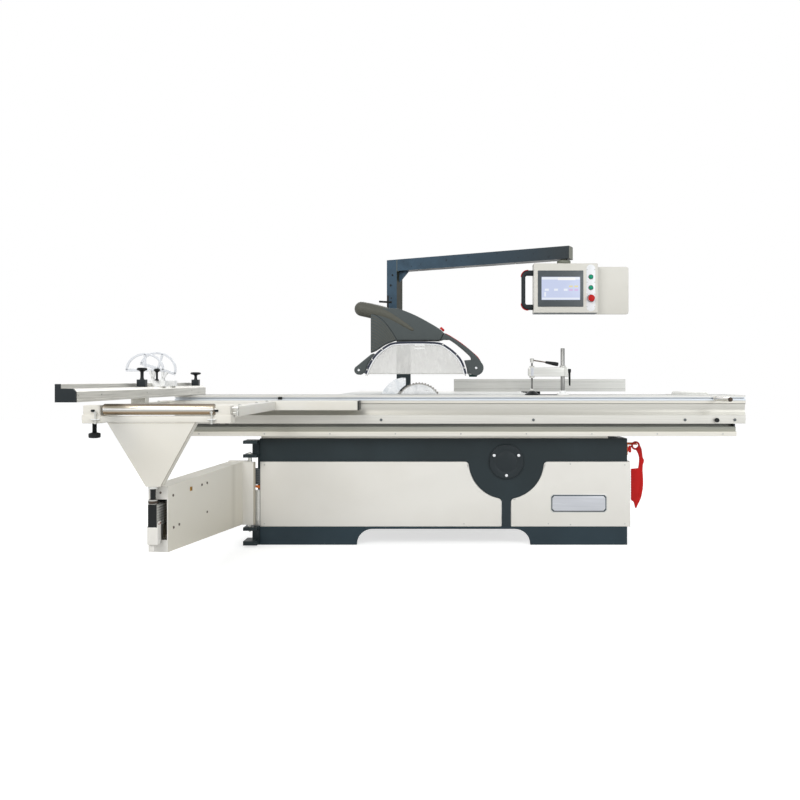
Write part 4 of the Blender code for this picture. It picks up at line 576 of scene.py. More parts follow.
def armPoints(points):
    # from along the arm (x across, y outwards negative) to the machine's directions
    turn = np.array([[math.cos(armAngle), math.sin(armAngle), 0],
        [-math.sin(armAngle), math.cos(armAngle), 0], [0, 0, 1]])
    return np.asarray(points, float) @ turn + armAt


def placed(name, data):
    # a new object in the scene
    made = bpy.data.objects.new(name, data)
    bpy.context.scene.collection.objects.link(made)
    return made


def piece(name, body, finish, shapes, replaces=()):
    # one object from several closed shapes, riding on a body; the two arm bodies are drawn along the arm
    shapes = shapes if isinstance(shapes, list) else [shapes]
    points, faces, start = [], [], 0
    for shapePoints, shapeFaces in shapes:
        points.append(armPoints(shapePoints) if body in ("arm", "arm_tube") else shapePoints)
        faces += [[index + start for index in face] for face in shapeFaces]
        start += len(shapePoints)
    mesh = bpy.data.meshes.new(name)
    mesh.from_pydata((np.vstack(points) + origin).tolist(), [], faces)
    mesh.update()
    mesh.shade_smooth()
    mesh.set_sharp_from_angle(angle=math.radians(40))
    made = placed(name, mesh)
    mesh.materials.append(finishes[finish].material)
    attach(made, body)
    if replaces:
        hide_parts(*replaces)


def bolt(centre, direction, radius, height=None, washer=0.0):
    # a hexagon head on a washer, its rim chamfered
    height = radius * 0.75 if height is None else height
    shapes = []
    base = np.asarray(centre, float)
    along = basis(direction)[2]
    if washer:
        shapes.append(turned([(0, 0), (washer, 0), (washer, 0.0012), (washer - 0.0006, 0.0018), (0, 0.0018)],
            base, direction, 20))
        base = base + along * 0.0018
    shapes.append(turned([(0, 0), (radius, 0), (radius, height * 0.85), (radius * 0.88, height), (0, height)],
        base, direction, 6))
    return shapes


def capScrew(centre, direction, radius, height=None):
    # a round head with a sunk socket
    height = radius * 0.9 if height is None else height
    profile = [(0, 0), (radius, 0), (radius, height * 0.8), (radius * 0.88, height), (radius * 0.52, height),
        (radius * 0.48, height * 0.45), (0, height * 0.4)]
    return [turned(profile, centre, direction, 14)]


def many(maker, places, *rest, **named):
    # the same small part at each place
    return [shape for place in places for shape in maker(place, *rest, **named)]


def sideScrews(spots, y, *sizes):
    # cap screws at the same (x, z) places on the near and the far side
    return [shape for way in (-1, 1) for x, z in spots for shape in capScrew((x, way * y, z), (0, way, 0),
        *sizes)]


def coat(nodeName, finish):
    # a CAD node keeps its shape and gets a procedural finish
    target = nodes[nodeName]
    target.data.materials.clear()
    target.data.materials.append(finishes[finish].material)


coats = {"frameBlue": ("top_frame", "arm_hinge_bracket", "rear_column"),
    "footBlue": ("base_plinth", "main_motor", "scoring_motor"), "panelBeige": ("rear_cover",),
    "armBeige": ("support_triangle",), "armSheet": ("swing_arm",), "postBlue": ("guard_boom",),
    "boomBlue": ("pendant_arm",), "railProfile": ("guide_rail",), "tableProfile": ("sliding_table",),
    "castTable": ("main_table",), "aluminium": ("rip_fence", "extension_table"),
    "castHousing": ("tilt_cradle", "rise_carriage"), "steel": ("fence_guide_bar", "saw_arbor", "motor_pulley",
    "arm_inner_tube"), "whitePlastic": ("stop_carriage_near", "stop_carriage_far"),
    "knifeSteel": ("riving_knife",), "sawBladeSteel": ("saw_blade",), "bladeSteel": ("scoring_blade",),
    "black": ("rip_fence_carriage", "rip_fence_lever", "table_lock_knob", "levelling_knob",
    "boom_clamp_handle", "clamp_lever"), "orange": ("side_bracket",),
    "red": ("isolator_knob", "guard_button"), "rubber": ("drive_belt",)}
for finish, names in coats.items():
    for nodeName in names:
        coat(nodeName, finish)
print("CAD nodes coated")

base = {"left": -0.916, "right": 1.219, "front": -0.345, "back": 0.755, "panelLow": 0.1048,
    "panelHigh": 0.4837, "sheet": 0.004, "side": 0.019, "wellX": 0.516, "wellZ": 0.484, "wellRadius": 0.218,
    "webWidth": 0.053, "fillet": 0.024, "gap": 0.0003}


def webEdge(offset):
    # left edge of the dark web from the beam down: a fillet, the round disc, and a fillet into the upright
    # stripe
    radius, fillet, x, z = base["wellRadius"], base["fillet"], base["wellX"], base["wellZ"]
    reach = radius + fillet
    upper = (x - math.sqrt(reach ** 2 - fillet ** 2), z - fillet)
    lowerX = x - base["webWidth"] / 2 - fillet
    lower = (lowerX, z - math.sqrt(reach ** 2 - (x - lowerX) ** 2))
    start = math.degrees(math.atan2(upper[1] - z, upper[0] - x)) + 360
    end = math.degrees(math.atan2(lower[1] - z, lower[0] - x)) + 360
    parts = [arc(upper, fillet - offset, 90, start - 180, 10), arc((x, z), radius + offset, start, end, 48),
        arc(lower, fillet - offset, end - 180, 0, 10)]
    return np.vstack([*parts, [(x - base["webWidth"] / 2 - offset, base["panelLow"])]])


def frontPanels():
    # two pressed sheets with rounded rims; the right one turns the corner and covers the side
    edge = webEdge(base["gap"] + 0.0006)
    low, high, front = base["panelLow"], base["panelHigh"], base["front"]
    left = np.vstack([edge, [(base["left"] + 0.003, low), (base["left"], low + 0.003), (base["left"], high)]])
    piece("panelLeft", "frame", "panelBeige", slab(left, "XZ", front, front + 0.01, 0.0045, 4),
        ["front_panel_left"])
    other = edge[::-1].copy()
    other[:, 0] = 2 * base["wellX"] - other[:, 0]
    outer = base["right"] + base["side"]
    right = np.vstack([other, [(outer, high), (outer, low)]])
    sideSheet = block((outer - base["sheet"], front + 0.002, low),
        (outer - 0.0004, base["back"] - 0.004, high), 0.0015)
    backFold = block((base["right"] + 0.001, base["back"] - 0.008, low),
        (outer - 0.0006, base["back"] - 0.0042, high), 0.0012)
    piece("panelRight", "frame", "panelBeige", [slab(right, "XZ", front, front + 0.01, 0.0045, 4), sideSheet,
        backFold], ["front_panel_right"])
    screws = [(0.889, front, 0.47), (0.889, front, 0.117), (-0.89, front, 0.465), (-0.89, front, 0.123),
        (0.27, front, 0.123), (0.76, front, 0.123), (1.205, front, 0.465), (1.205, front, 0.123)]
    piece("panelScrews", "frame", "zinc", many(capScrew, screws, (0, -1, 0), 0.0042, 0.0026))


def wellCover():
    # the dished cover: a chamfered disc with a shallow turned ring, and three bright bolts
    x, z, front, radius = base["wellX"], base["wellZ"], base["front"], 0.1
    profile = [(0, 0), (radius, 0), (radius, 0.0085), (radius - 0.0012, 0.0108), (radius - 0.0035, 0.012),
        (radius - 0.034, 0.012), (radius - 0.036, 0.0108), (radius - 0.04, 0.0108), (radius - 0.042, 0.012),
        (0, 0.012)]
    piece("wellCoverDisc", "frame", "coverBlue", turned(profile, (x, front - 0.0003, z), (0, -1, 0), 96),
        ["well_cover"])
    ring = [(x + 0.08 * math.cos(a), front - 0.0123, z + 0.08 * math.sin(a))
        for a in np.radians((27, 153, 270))]
    piece("wellCoverBolts", "frame", "stripWhite", [turned(dome(0.0085, 0.0045), place, (0, -1, 0), 24)
        for place in ring])


def beamTrim():
    # folded lip along the beam's top edge and the raised weld line at its left end
    front, left, right = base["front"], base["left"], base["right"]
    lip = block((left, front - 0.0025, 0.6135), (right, front + 0.004, 0.6182), 0.0012, plane="YZ")
    low = block((left, front - 0.0012, 0.4842), (0.28, front + 0.002, 0.4868), 0.0006, plane="YZ")
    piece("beamLips", "frame", "coverBlue", [lip, low])


def infoPlate():
    # plain riveted plate with cut corners: dark border line on a silver field
    low, high, front, cut = (0.7725, 0.187), (1.103, 0.295), base["front"], 0.012
    sheets = (("plateRim", 0, 0.0016, "aluminium"), ("plateBorder", 0.005, 0.0021, "footBlue"),
        ("plateField", 0.011, 0.0025, "plateSilver"))
    for name, grow, thick, finish in sheets:
        a, b, c, d = low[0] + grow, low[1] + grow, high[0] - grow, high[1] - grow
        outline = [(a + cut, b), (c - cut, b), (c, b + cut), (c, d - cut), (c - cut, d), (a + cut, d),
            (a, d - cut), (a, b + cut)]
        piece(name, "frame", finish, slab(outline, "XZ", front - thick, front - 0.0001, 0.0004, 2))
    rivets = [(x, front - 0.0024, z) for x in (low[0] + 0.02, high[0] - 0.02)
        for z in (low[1] + 0.02, high[1] - 0.02)]
    piece("plateRivets", "frame", "zinc", [turned(dome(0.0032, 0.0016), place, (0, -1, 0), 12)
        for place in rivets])


def rearDetails():
    # the back: a door with handle and hinges, pressed louvres, a dust outlet and screws
    y = base["back"]
    door = roundRect((-0.56, 0.135), (0.25, 0.455), 0.012)
    piece("rearDoor", "frame", "armBeige", slab(door, "XZ", y + 0.0003, y + 0.006, 0.003))
    slats = []
    for k in range(9):
        z = 0.19 + 0.026 * k
        wave = [(0.0, z), (0.007, z + 0.004), (0.008, z + 0.01), (0.0, z + 0.016)]
        slats.append(slab([(y + 0.0003 + dy, dz) for dy, dz in wave], "YZ", 0.52, 0.86, 0.0012, 2))
    piece("rearLouvres", "frame", "panelBeige", slats)
    handle = [block((0.205, y + 0.006, 0.268), (0.232, y + 0.012, 0.332), 0.002, plane="XZ"),
        turned(dome(0.01, 0.01), (0.2185, y + 0.012, 0.3), (0, 1, 0), 20)]
    piece("rearDoorLatch", "frame", "black", handle)
    hinges = [turned(rod(0.007, 0.05), (-0.566, y + 0.008, z), (0, 0, 1), 14) for z in (0.17, 0.37)]
    piece("rearDoorHinges", "frame", "zinc", hinges)
    corners = [(x, y + 0.0002, z) for x in (-0.89, 1.19) for z in (0.125, 0.3, 0.46)]
    piece("rearScrews", "frame", "zinc", many(capScrew, corners, (0, 1, 0), 0.0045, 0.0028))
    profile = [(0.0, 0.0), (0.075, 0.0), (0.075, 0.004), (0.06, 0.006), (0.06, 0.058), (0.0565, 0.06),
        (0.0555, 0.01), (0.0, 0.008)]
    piece("dustOutlet", "frame", "darkGrey", turned(profile, (1.02, y + 0.0003, 0.3), (0, 1, 0), 48))


def baseFeet():
    # levelling screws with nuts at the plinth's four corners
    shapes = []
    for x in (base["left"] + 0.06, base["right"] - 0.06):
        for y in (base["front"] + 0.045, base["back"] - 0.045):
            shapes.append(turned([(0, 0), (0.022, 0), (0.022, 0.006), (0.008, 0.012), (0.008, 0.06),
                (0, 0.06)], (x, y, 0.0), (0, 0, 1), 20))
            shapes += bolt((x, y, 0.03), (0, 0, 1), 0.014, 0.01)
    piece("levellingFeet", "frame", "zinc", shapes)


frontPanels()
wellCover()
beamTrim()
infoPlate()
rearDetails()
baseFeet()
print("base dressed")

table = {"front": -0.4, "left": -1.394, "right": 1.886, "top": 0.87}


def tableDetails():
    # bolts along the front, nine shallow grooves in the top, the slot stop, the shoe plate and the end screws
    front, top = table["front"], table["top"]
    places = [(x, front - 0.0002, 0.729) for x in (-0.208, 0.667, 1.538, 1.824)]
    piece("tableBolts", "table", "castHousing", many(bolt, places, (0, -1, 0), 0.0085, 0.006))
    strips = [bar([(table["left"] + 0.002, y, top + 0.00005), (0, y, top + 0.00005),
        (table["right"] - 0.002, y, top + 0.00005)], (0, 1, 0), 0.0016, 0.0005, 0.0002)
        for y in np.linspace(-0.3, -0.05, 9)]
    piece("tableGrooves", "table", "castTable", strips)
    stop = block((-0.8, front - 0.006, 0.846), (-0.776, front + 0.006, 0.861), 0.0015)
    piece("slotStop", "table", "black", stop)
    shoe = [block((1.497, -0.268, top + 0.0002), (1.722, -0.15, top + 0.0035), 0.0012, 0.004),
        slab([(1.5, top + 0.003), (1.719, top + 0.003), (1.712, top + 0.0225), (1.507, top + 0.0225)], "XZ",
        -0.264, -0.258, 0.001)]
    piece("shoePlate", "table", "aluminium", shoe)
    ends = []
    for x, way in ((table["left"] + 0.0004, -1), (table["right"] - 0.0004, 1)):
        for y, z in ((-0.388, 0.718), (-0.388, 0.805), (-0.262, 0.718), (-0.262, 0.805)):
            ends.append(turned([(0, 0), (0.004, 0), (0.004, 0.0003), (0, 0.0004)], (x - way * 0.0002, y, z),
                (way, 0, 0), 12))
    piece("tableEndScrews", "table", "zinc", ends)


def railDetails():
    # a row of screws along the rail and a wiper at each of its ends
    holes = [(x, -0.4152, 0.65) for x in np.linspace(-1.25, 1.75, 9)]
    piece("railScrews", "frame", "steel", many(capScrew, holes, (0, -1, 0), 0.0045, 0.002))
    wiper = [block((x, -0.399, 0.664), (x + 0.012, -0.366, 0.706), 0.0015) for x in (-1.329, 1.815)]
    piece("railWipers", "frame", "black", wiper)


def pushHandle():
    # turned grip: slim collar at the table, bright shaft, small dark rounded end
    x, z, y = 1.713, 0.8517, table["front"] - 0.0003
    shaft = [(0, 0), (0.0145, 0), (0.0145, 0.01), (0.0125, 0.012), (0.013, 0.014), (0.013, 0.228),
        (0.0125, 0.23), (0, 0.23)]
    piece("pushHandleGrip", "table", "chrome", turned(shaft, (x, y, z), (0, -1, 0), 40), ["push_handle"])
    tip = turned([(0, 0.229), (0.012, 0.229), (0.0122, 0.236), (0.01, 0.24), (0, 0.241)], (x, y, z),
        (0, -1, 0), 36)
    piece("pushHandleEnds", "table", "bronze", [tip])


tableDetails()
railDetails()
pushHandle()
print("sliding table dressed")

rig = {"left": -1.445, "right": -0.79, "front": -1.475, "barRight": -0.325, "barFront": -0.5203,
    "barBack": -0.4003, "barLow": 0.788, "barHigh": 0.841}


def outrigger():
    # two long beams and two cross beams, the brackets that carry the roller, and their bolts and pins
    left, right, front = rig["left"], rig["right"], rig["front"]
    low, high = rig["barLow"], rig["barHigh"]
    barFront, barBack, barRight = rig["barFront"], rig["barBack"], rig["barRight"]
    rounded = [block((a, b, c), (d, e, f), 0.003, plane=plane) for plane, a, b, c, d, e, f in (
        ("YZ", left, barFront, low, barRight - 0.006, barBack, high),
        ("XZ", left, front + 0.05, low + 0.002, left + 0.06, barFront + 0.01, high - 0.002),
        ("XZ", right - 0.06, front + 0.05, low + 0.002, right, barFront + 0.01, high - 0.002),
        ("YZ", left + 0.002, front + 0.002, 0.771, right - 0.002, front + 0.058, 0.7985),
        ("YZ", left + 0.05, -1.108, 0.8, right - 0.05, -1.058, high))]
    piece("outriggerBeams", "table", "armBeige", rounded, ["outrigger_frame"])
    cheeks = []
    for a, b in ((left, left + 0.082), (right - 0.073, right)):
        cheeks.append(block((a, front, 0.767), (b, front + 0.07, 0.806), 0.003, 0.005, "XZ"))
        cheeks.append(block((a + 0.004, front + 0.004, 0.804), (b - 0.004, front + 0.066, 0.847), 0.003,
            0.006, "XZ"))
    piece("rollerBrackets", "table", "armBeige", cheeks)
    cap = block((barRight - 0.006, barFront, low), (barRight, barBack, high), 0.0015, plane="YZ")
    # black blocks stand in for the slots in the roller brackets: painted shade inside the cutouts
    slot = [block((a, front - 0.0006, 0.818), (a + 0.017, front + 0.004, 0.828), 0.0008, 0.004, "XZ")
        for a in (left + 0.04, right - 0.072)]
    feet = [block((a, front + 0.008, 0.764), (a + 0.016, front + 0.024, 0.7672), 0.0008)
        for a in (right - 0.07, right - 0.028)]
    piece("outriggerDarkParts", "table", "black", [cap, *slot, *feet])
    zinc = []
    for x in (left + 0.063, right - 0.083):
        y = front - 0.007
        zinc.append(turned(rod(0.0035, 0.052), (x, y, 0.77), (0, 0, 1), 12))
        zinc += many(bolt, [(x, y, 0.776), (x, y, 0.812)], (0, 0, 1), 0.0075, 0.006)
        zinc.append(turned(dome(0.006, 0.006), (x, y, 0.77), (0, 0, -1), 12))
    tops = [(x, y, high - 0.002) for y in (-0.6, -0.85, -1.2, -1.36) for x in (left + 0.03, right - 0.03)]
    zinc += many(bolt, tops, (0, 0, 1), 0.006, 0.004, washer=0.009)
    piece("rollerBolts", "table", "zinc", zinc)
    plates = [slab(roundRect((x - 0.019, front - 0.012), (x + 0.019, front + 0.004), 0.006), "XY", 0.7835,
        0.7875, 0.001) for x in (left + 0.063, right - 0.083)]
    piece("rollerPlates", "table", "whitePlastic", plates)
    x, y = right + 0.001, front + 0.02
    button = [(0, 0), (0.0095, 0.001), (0.0105, 0.006), (0.0095, 0.011), (0, 0.012)]
    pin = [turned(rod(0.0042, 0.02), (x, y, 0.8345), (1, 0, 0), 12),
        turned(button, (x + 0.018, y, 0.8345), (1, 0, 0), 20),
        turned(rod(0.0035, 0.018), (x, y + 0.01, 0.812), (1, 0, 0), 12)]
    wing = [slab(roundRect((x + 0.018, y - 0.002), (x + 0.026, y + 0.022), 0.003), "XY", 0.801, 0.824, 0.001)]
    piece("bracketPin", "table", "zinc", pin + wing)


def rollerAndTriangle():
    # the turned sleeve, mirrored about its middle, and the folds and foot of the triangle under it
    low, high = rig["left"] + 0.0823, rig["right"] - 0.0733
    length = high - low
    stub, radius = 0.006, 0.025
    rim = [(radius - 0.0025, stub), (radius - 0.0008, stub + 0.0006), (radius, stub + 0.003)]
    profile = [(0, 0), (0.008, 0), (0.008, stub), *rim]
    profile += [(r, length - h) for r, h in reversed(profile)]
    piece("rollerSleeve", "roller", "roller", turned(profile, (low, rig["front"] + 0.03, 0.828), (1, 0, 0),
        64), ["support_roller"])
    front = rig["front"]
    fold = bar([(-0.9497, front + 0.006, 0.77), (-1.0245, front + 0.006, 0.633),
        (-1.0995, front + 0.006, 0.495)], (0, 1, 0), 0.011, 0.005, 0.001)
    piece("triangleFold", "table", "foldShade", fold)
    line = bar([(-1.33, front - 0.0003, 0.7665), (-1.14, front - 0.0003, 0.7665),
        (-0.952, front - 0.0003, 0.7665)], (0, 1, 0), 0.0012, 0.0012, 0.0003)
    piece("triangleSeam", "table", "foldShade", line)
    foot = block((-1.161, front + 0.001, 0.4894), (-1.103, front + 0.058, 0.4935), 0.001)
    piece("triangleFoot", "table", "armBeige", foot)


def levellingKnob():
    # knurled wheel on a threaded stem: the rim swings in and out eighteen times
    centre = (-1.4, -1.447, 0.7667)
    side, up, along = basis((0, 0, -1))
    angle = np.linspace(0, 2 * math.pi, 108, endpoint=False)
    lobes = 1 + 0.035 * np.cos(18 * angle)
    rings = []
    for radius, height, wavy in ((0.01, 0.04, 0), (0.022, 0.0435, 1), (0.0245, 0.046, 1), (0.0245, 0.06, 1),
            (0.022, 0.064, 1), (0.012, 0.066, 0)):
        reach = radius * (lobes if wavy else 1.0) * np.ones_like(angle)
        circle = np.cos(angle)[:, None] * side + np.sin(angle)[:, None] * up
        rings.append(np.asarray(centre) + reach[:, None] * circle + height * along)
    stem = [(0, 0.0)]
    for k in range(16):
        stem += [(0.01, 0.0012 + k * 0.0025), (0.0088, 0.0024 + k * 0.0025)]
    stem += [(0.009, 0.0425), (0, 0.0425)]
    piece("levellingKnobWheel", "level_knob", "black", [lofted(rings), turned(stem, centre, (0, 0, -1), 24)],
        ["levelling_knob"])


outrigger()
rollerAndTriangle()
levellingKnob()
print("outrigger dressed")

fence = {"left": -1.377, "right": -1.295, "near": -1.86, "far": -0.13, "low": 0.8703, "high": 0.9243,
    "ridge": 0.9423, "ridgeWidth": 0.02, "outerY": -1.083, "innerY": -0.227, "knobX": -1.326}


def fenceProfile():
    # hollow-looking profile with a lowered top, a ridge on the left and a slot down its right face
    left, right, low, high = fence["left"], fence["right"], fence["low"], fence["high"]
    ridge, edge = fence["ridge"], left + fence["ridgeWidth"]
    outline = [(left, low + 0.001), (left + 0.001, low), (right - 0.002, low), (right, low + 0.002),
        (right, low + 0.01), (right - 0.0012, low + 0.011), (right - 0.0012, low + 0.013),
        (right, low + 0.014), (right, high - 0.012), (right - 0.01, high - 0.0015), (right - 0.012, high),
        (edge + 0.006, high), (edge + 0.006, high - 0.004), (edge + 0.002, high - 0.004),
        (edge + 0.002, high), (edge, high), (edge, ridge - 0.001), (edge - 0.001, ridge),
        (edge - 0.007, ridge), (edge - 0.007, ridge - 0.003), (edge - 0.013, ridge - 0.003),
        (edge - 0.013, ridge), (left + 0.001, ridge), (left, ridge - 0.001)]
    body = slab(outline[::-1], "XZ", fence["near"] + 0.01, fence["far"], 0.0004, 1)
    foot = block((left + 0.006, fence["outerY"] - 0.025, 0.8413),
        (right - 0.006, fence["outerY"] + 0.025, low + 0.001), 0.001)
    piece("fenceProfile", "fence", "fenceMetal", [body, foot], ["crosscut_fence"])
    cap = [(left, low), (right, low), (right, high - 0.012), (right - 0.012, high), (edge, high),
        (edge, ridge), (left, ridge)]
    piece("fenceEndCap", "fence", "darkGrey", slab(cap, "XZ", fence["near"], fence["near"] + 0.012, 0.001))
    screws = [(right, y, low + 0.027) for y in (-1.835, -1.62, -1.1, -0.4)]
    piece("fenceScrews", "fence", "steel", many(capScrew, screws, (1, 0, 0), 0.0035, 0.0015))
    scale = bar([(edge + 0.018, -1.8, high + 0.0002), (edge + 0.018, -1.0, high + 0.0002),
        (edge + 0.018, -0.16, high + 0.0002)], (1, 0, 0), 0.012, 0.0004, 0.0001)
    piece("fenceScale", "fence", "stripWhite", scale)


def fenceKnob(name, body, y, height, headRadius, replaced):
    # square clamping block, thin stem and a domed T head
    x, ground = fence["knobX"], fence["high"] + 0.0003
    blockShape = block((x - 0.02, y - 0.02, ground), (x + 0.02, y + 0.02, ground + 0.036), 0.002, 0.003)
    piece(name + "Block", body, "darkGrey", blockShape)
    stem = [(0, 0.034), (0.011, 0.034), (0.0095, 0.04), (0.008, 0.046), (0.008, height - 0.022),
        (0.012, height - 0.017), (headRadius - 0.003, height - 0.013), (headRadius, height - 0.01),
        (headRadius, height - 0.005), (headRadius - 0.004, height - 0.001), (headRadius * 0.5, height),
        (0, height)]
    piece(name + "Head", body, "black", turned(stem, (x, y, ground), (0, 0, 1), 40), [replaced])


stops = {"radius": 0.1, "height": 0.088, "hubX": -1.366, "hubZ": 0.9626, "reach": 0.0395, "lift": 0.047,
    "bar": 0.012, "depth": 0.008}


def flipStop(name, body, y, turn, replaced):
    # half-round hoop, base bar and middle spoke of clear plastic, turned about the pin
    hub = np.array([stops["hubX"], y, stops["hubZ"]])
    middle = (stops["hubX"] - stops["reach"], stops["hubZ"] + stops["lift"])
    radius, tall, width, depth = stops["radius"], stops["height"], stops["bar"], stops["depth"]
    hoop = arc((middle[0], middle[1] + 0.001), radius - width / 2, 0, 180, 36, tall - width / 2)
    foot = [(middle[0] - radius + 0.001, middle[1]), middle, (middle[0] + radius - 0.001, middle[1])]
    spoke = [middle, (middle[0], middle[1] + 0.04), (middle[0], middle[1] + tall - 0.006)]
    shapes = [bar(spun(turn, hub, sideLine(path, y)), (0, 1, 0), depth, wide, 0.0015) for path,
        wide in ((hoop, width), (foot, width * 1.3), (spoke, width))]
    piece(name + "Hoop", body, "stopClear", shapes, [replaced])
    legs = []
    for shift in (-0.009, 0.006):
        for top, knee, wide in ((-0.012, -0.004, 0.012), (0.016, 0.006, 0.01)):
            path = [(hub[0] + top, middle[1]), (hub[0] + knee, hub[2] + 0.018), (hub[0], hub[2] - 0.004)]
            legs.append(bar(spun(turn, hub, sideLine(path, y + shift)), (0, 1, 0), 0.003, wide, 0.001))
    legs.append(turned(rod(0.005, 0.03), hub - (0, 0.015, 0), (0, 1, 0), 16))
    piece(name + "Legs", body, "whitePlastic", legs)


def stopCarriage(name, body, y):
    # cheeks that hold the pin, a dark clamping screw and a pale shoe on the fence
    x, top = stops["hubX"], 0.9546
    cheeks = [slab([(x - 0.01, top - 0.001), (x + 0.012, top - 0.001), (x + 0.006, top + 0.014),
        (x - 0.005, top + 0.014)], "XZ", y + shift, y + shift + 0.003, 0.0008) for shift in (-0.017, 0.014)]
    piece(name + "Cheeks", body, "whitePlastic", cheeks)
    shoe = slab(roundRect((x - 0.02, y - 0.03), (x + 0.014, y - 0.024), 0.002), "XY", 0.929, 0.944, 0.002)
    piece(name + "Shoe", body, "whitePlastic", shoe)
    knobX = x + 0.037
    profile = [(0, 0), (0.01, 0), (0.01, 0.006), (0.0055, 0.009), (0.0055, 0.042), (0.012, 0.048),
        (0.016, 0.051), (0.016, 0.058), (0.011, 0.062), (0, 0.063)]
    if name == "nearStop":
        piece(name + "Knob", body, "black", turned(profile, (knobX - 0.002, y - 0.034, top), (0, 0, 1), 32))


fenceProfile()
fenceKnob("outerKnob", "outer_knob", fence["outerY"], 0.094, 0.0245, "fence_knob_outer")
fenceKnob("innerKnob", "inner_knob", fence["innerY"], 0.08, 0.03, "fence_knob_inner")
flipStop("nearStop", "near_flip", -0.83, 0, "flip_stop_near")
flipStop("farStop", "far_flip", -0.68, 17, "flip_stop_far")
stopCarriage("nearStop", "near_carriage", -0.83)
stopCarriage("farStop", "far_carriage", -0.68)
print("fence dressed")

clampAt = {"x": 0.846, "y": -0.33, "spindleX": 0.667, "table": 0.8703, "armLow": 0.9785, "armHigh": 1.032,
    "top": 1.143}


def holdDown():
    # column and foot, casting, sleeve and boss, then the threaded spindle: a radius that steps out and in
    x, y, sx, level = clampAt["x"], clampAt["y"], clampAt["spindleX"], clampAt["table"]
    low, high = clampAt["armLow"], clampAt["armHigh"]
    height = clampAt["top"] - level
    column = [(0, 0.008), (0.012, 0.008), (0.012, height - 0.002), (0.0105, height), (0, height)]
    piece("clampColumnBar", "clamp_post", "rodSteel", turned(column, (x, y, level), (0, 0, 1), 40),
        ["clamp_column"])
    foot = [slab(roundRect((x - 0.031, y - 0.028), (x + 0.031, y + 0.028), 0.006), "XY", level, level + 0.01,
        0.002), turned([(0, 0.01), (0.019, 0.01), (0.019, 0.022), (0.016, 0.026), (0, 0.026)], (x, y, level))]
    piece("clampFoot", "clamp_post", "whitePlastic", foot)
    rail = block((x - 0.15, y - 0.008, level), (x - 0.034, y + 0.008, level + 0.004), 0.001)
    piece("clampSlotBar", "clamp_post", "darkGrey", rail)
    arm = block((sx - 0.0225, y - 0.017, low), (0.8635, y + 0.017, high), 0.003, 0.011, "XZ")
    plate = block((0.853, y - 0.019, low - 0.003), (0.8748, y + 0.019, high + 0.001), 0.003, plane="YZ")
    piece("clampArmCasting", "clamp_beam", "aluminium", [arm, plate], ["clamp_arm"])
    sleeve = [turned([(0, -0.062), (0.0145, -0.062), (0.0145, 0.0055), (0.012, 0.008), (0, 0.008)],
        (sx, y, high)), turned([(0, 0), (0.0175, 0), (0.0175, 0.01), (0.015, 0.012), (0, 0.012)],
        (x, y, high - 0.001))]
    piece("clampSleeve", "clamp_beam", "zinc", sleeve)
    seam = turned(rod(0.0156, 0.046), (sx, y - 0.0036, low + 0.004))
    piece("clampBoss", "clamp_beam", "plateSilver", seam)
    thread = [(0, 0.01)]
    for k in range(70):
        thread += [(0.006, 0.011 + k * 0.0025), (0.0053, 0.01225 + k * 0.0025)]
    thread += [(0.0053, 0.1885), (0, 0.1885)]
    piece("clampSpindleRod", "clamp_screw", "rodSteel", turned(thread, (sx, y, level), (0, 0, 1), 24),
        ["clamp_spindle"])
    piece("clampSpindleNut", "clamp_screw", "zinc", turned([(0, 0), (0.0115, 0), (0.0125, 0.002),
        (0.0125, 0.012), (0.011, 0.014), (0, 0.014)], (sx, y, level + 0.022), (0, 0, 1), 6))
    pad = [(0, 0), (0.039, 0), (0.041, 0.002), (0.041, 0.006), (0.021, 0.021), (0.017, 0.023), (0, 0.023)]
    piece("clampPad", "clamp_screw", "black", turned(pad, (sx, y, level), (0, 0, 1), 40))


def clampCrank():
    # zinc hub and ball, thin rod and a tapered grip
    hub = np.array([clampAt["spindleX"], clampAt["y"], 1.0606])
    rise = hub + (0, 0, 0.013)
    piece("crankHub", "crank", "zinc", [turned([(0, 0), (0.0105, 0), (0.0105, 0.014), (0.013, 0.018),
        (0.0105, 0.023), (0.005, 0.0245), (0, 0.0245)], hub, (0, 0, 1), 28)], ["clamp_crank"])
    way = np.array([0.08, 0, -0.012])
    piece("crankRod", "crank", "darkRod", tube([rise, rise + way * 0.5, rise + way], 0.004, 14))
    start = rise + way
    grip = np.array([0.071, 0, -0.0125])
    path = [start + grip * t for t in np.linspace(0, 1, 12)]
    sizes = np.interp(np.linspace(0, 1, 12), [0, 0.12, 0.8, 1], [0.0068, 0.0082, 0.0118, 0.0112])
    piece("crankGrip", "crank", "black", tube(path, sizes, 20, bulge=0.3))


holdDown()
clampCrank()
print("clamp dressed")

arm = {"middle": -0.0835, "half": 0.045, "length": 1.06, "top": 0.486, "low": 0.1235, "tipLow": 0.1925,
    "tubeEnd": -1.122, "postX": -0.0935, "postY": -1.092}


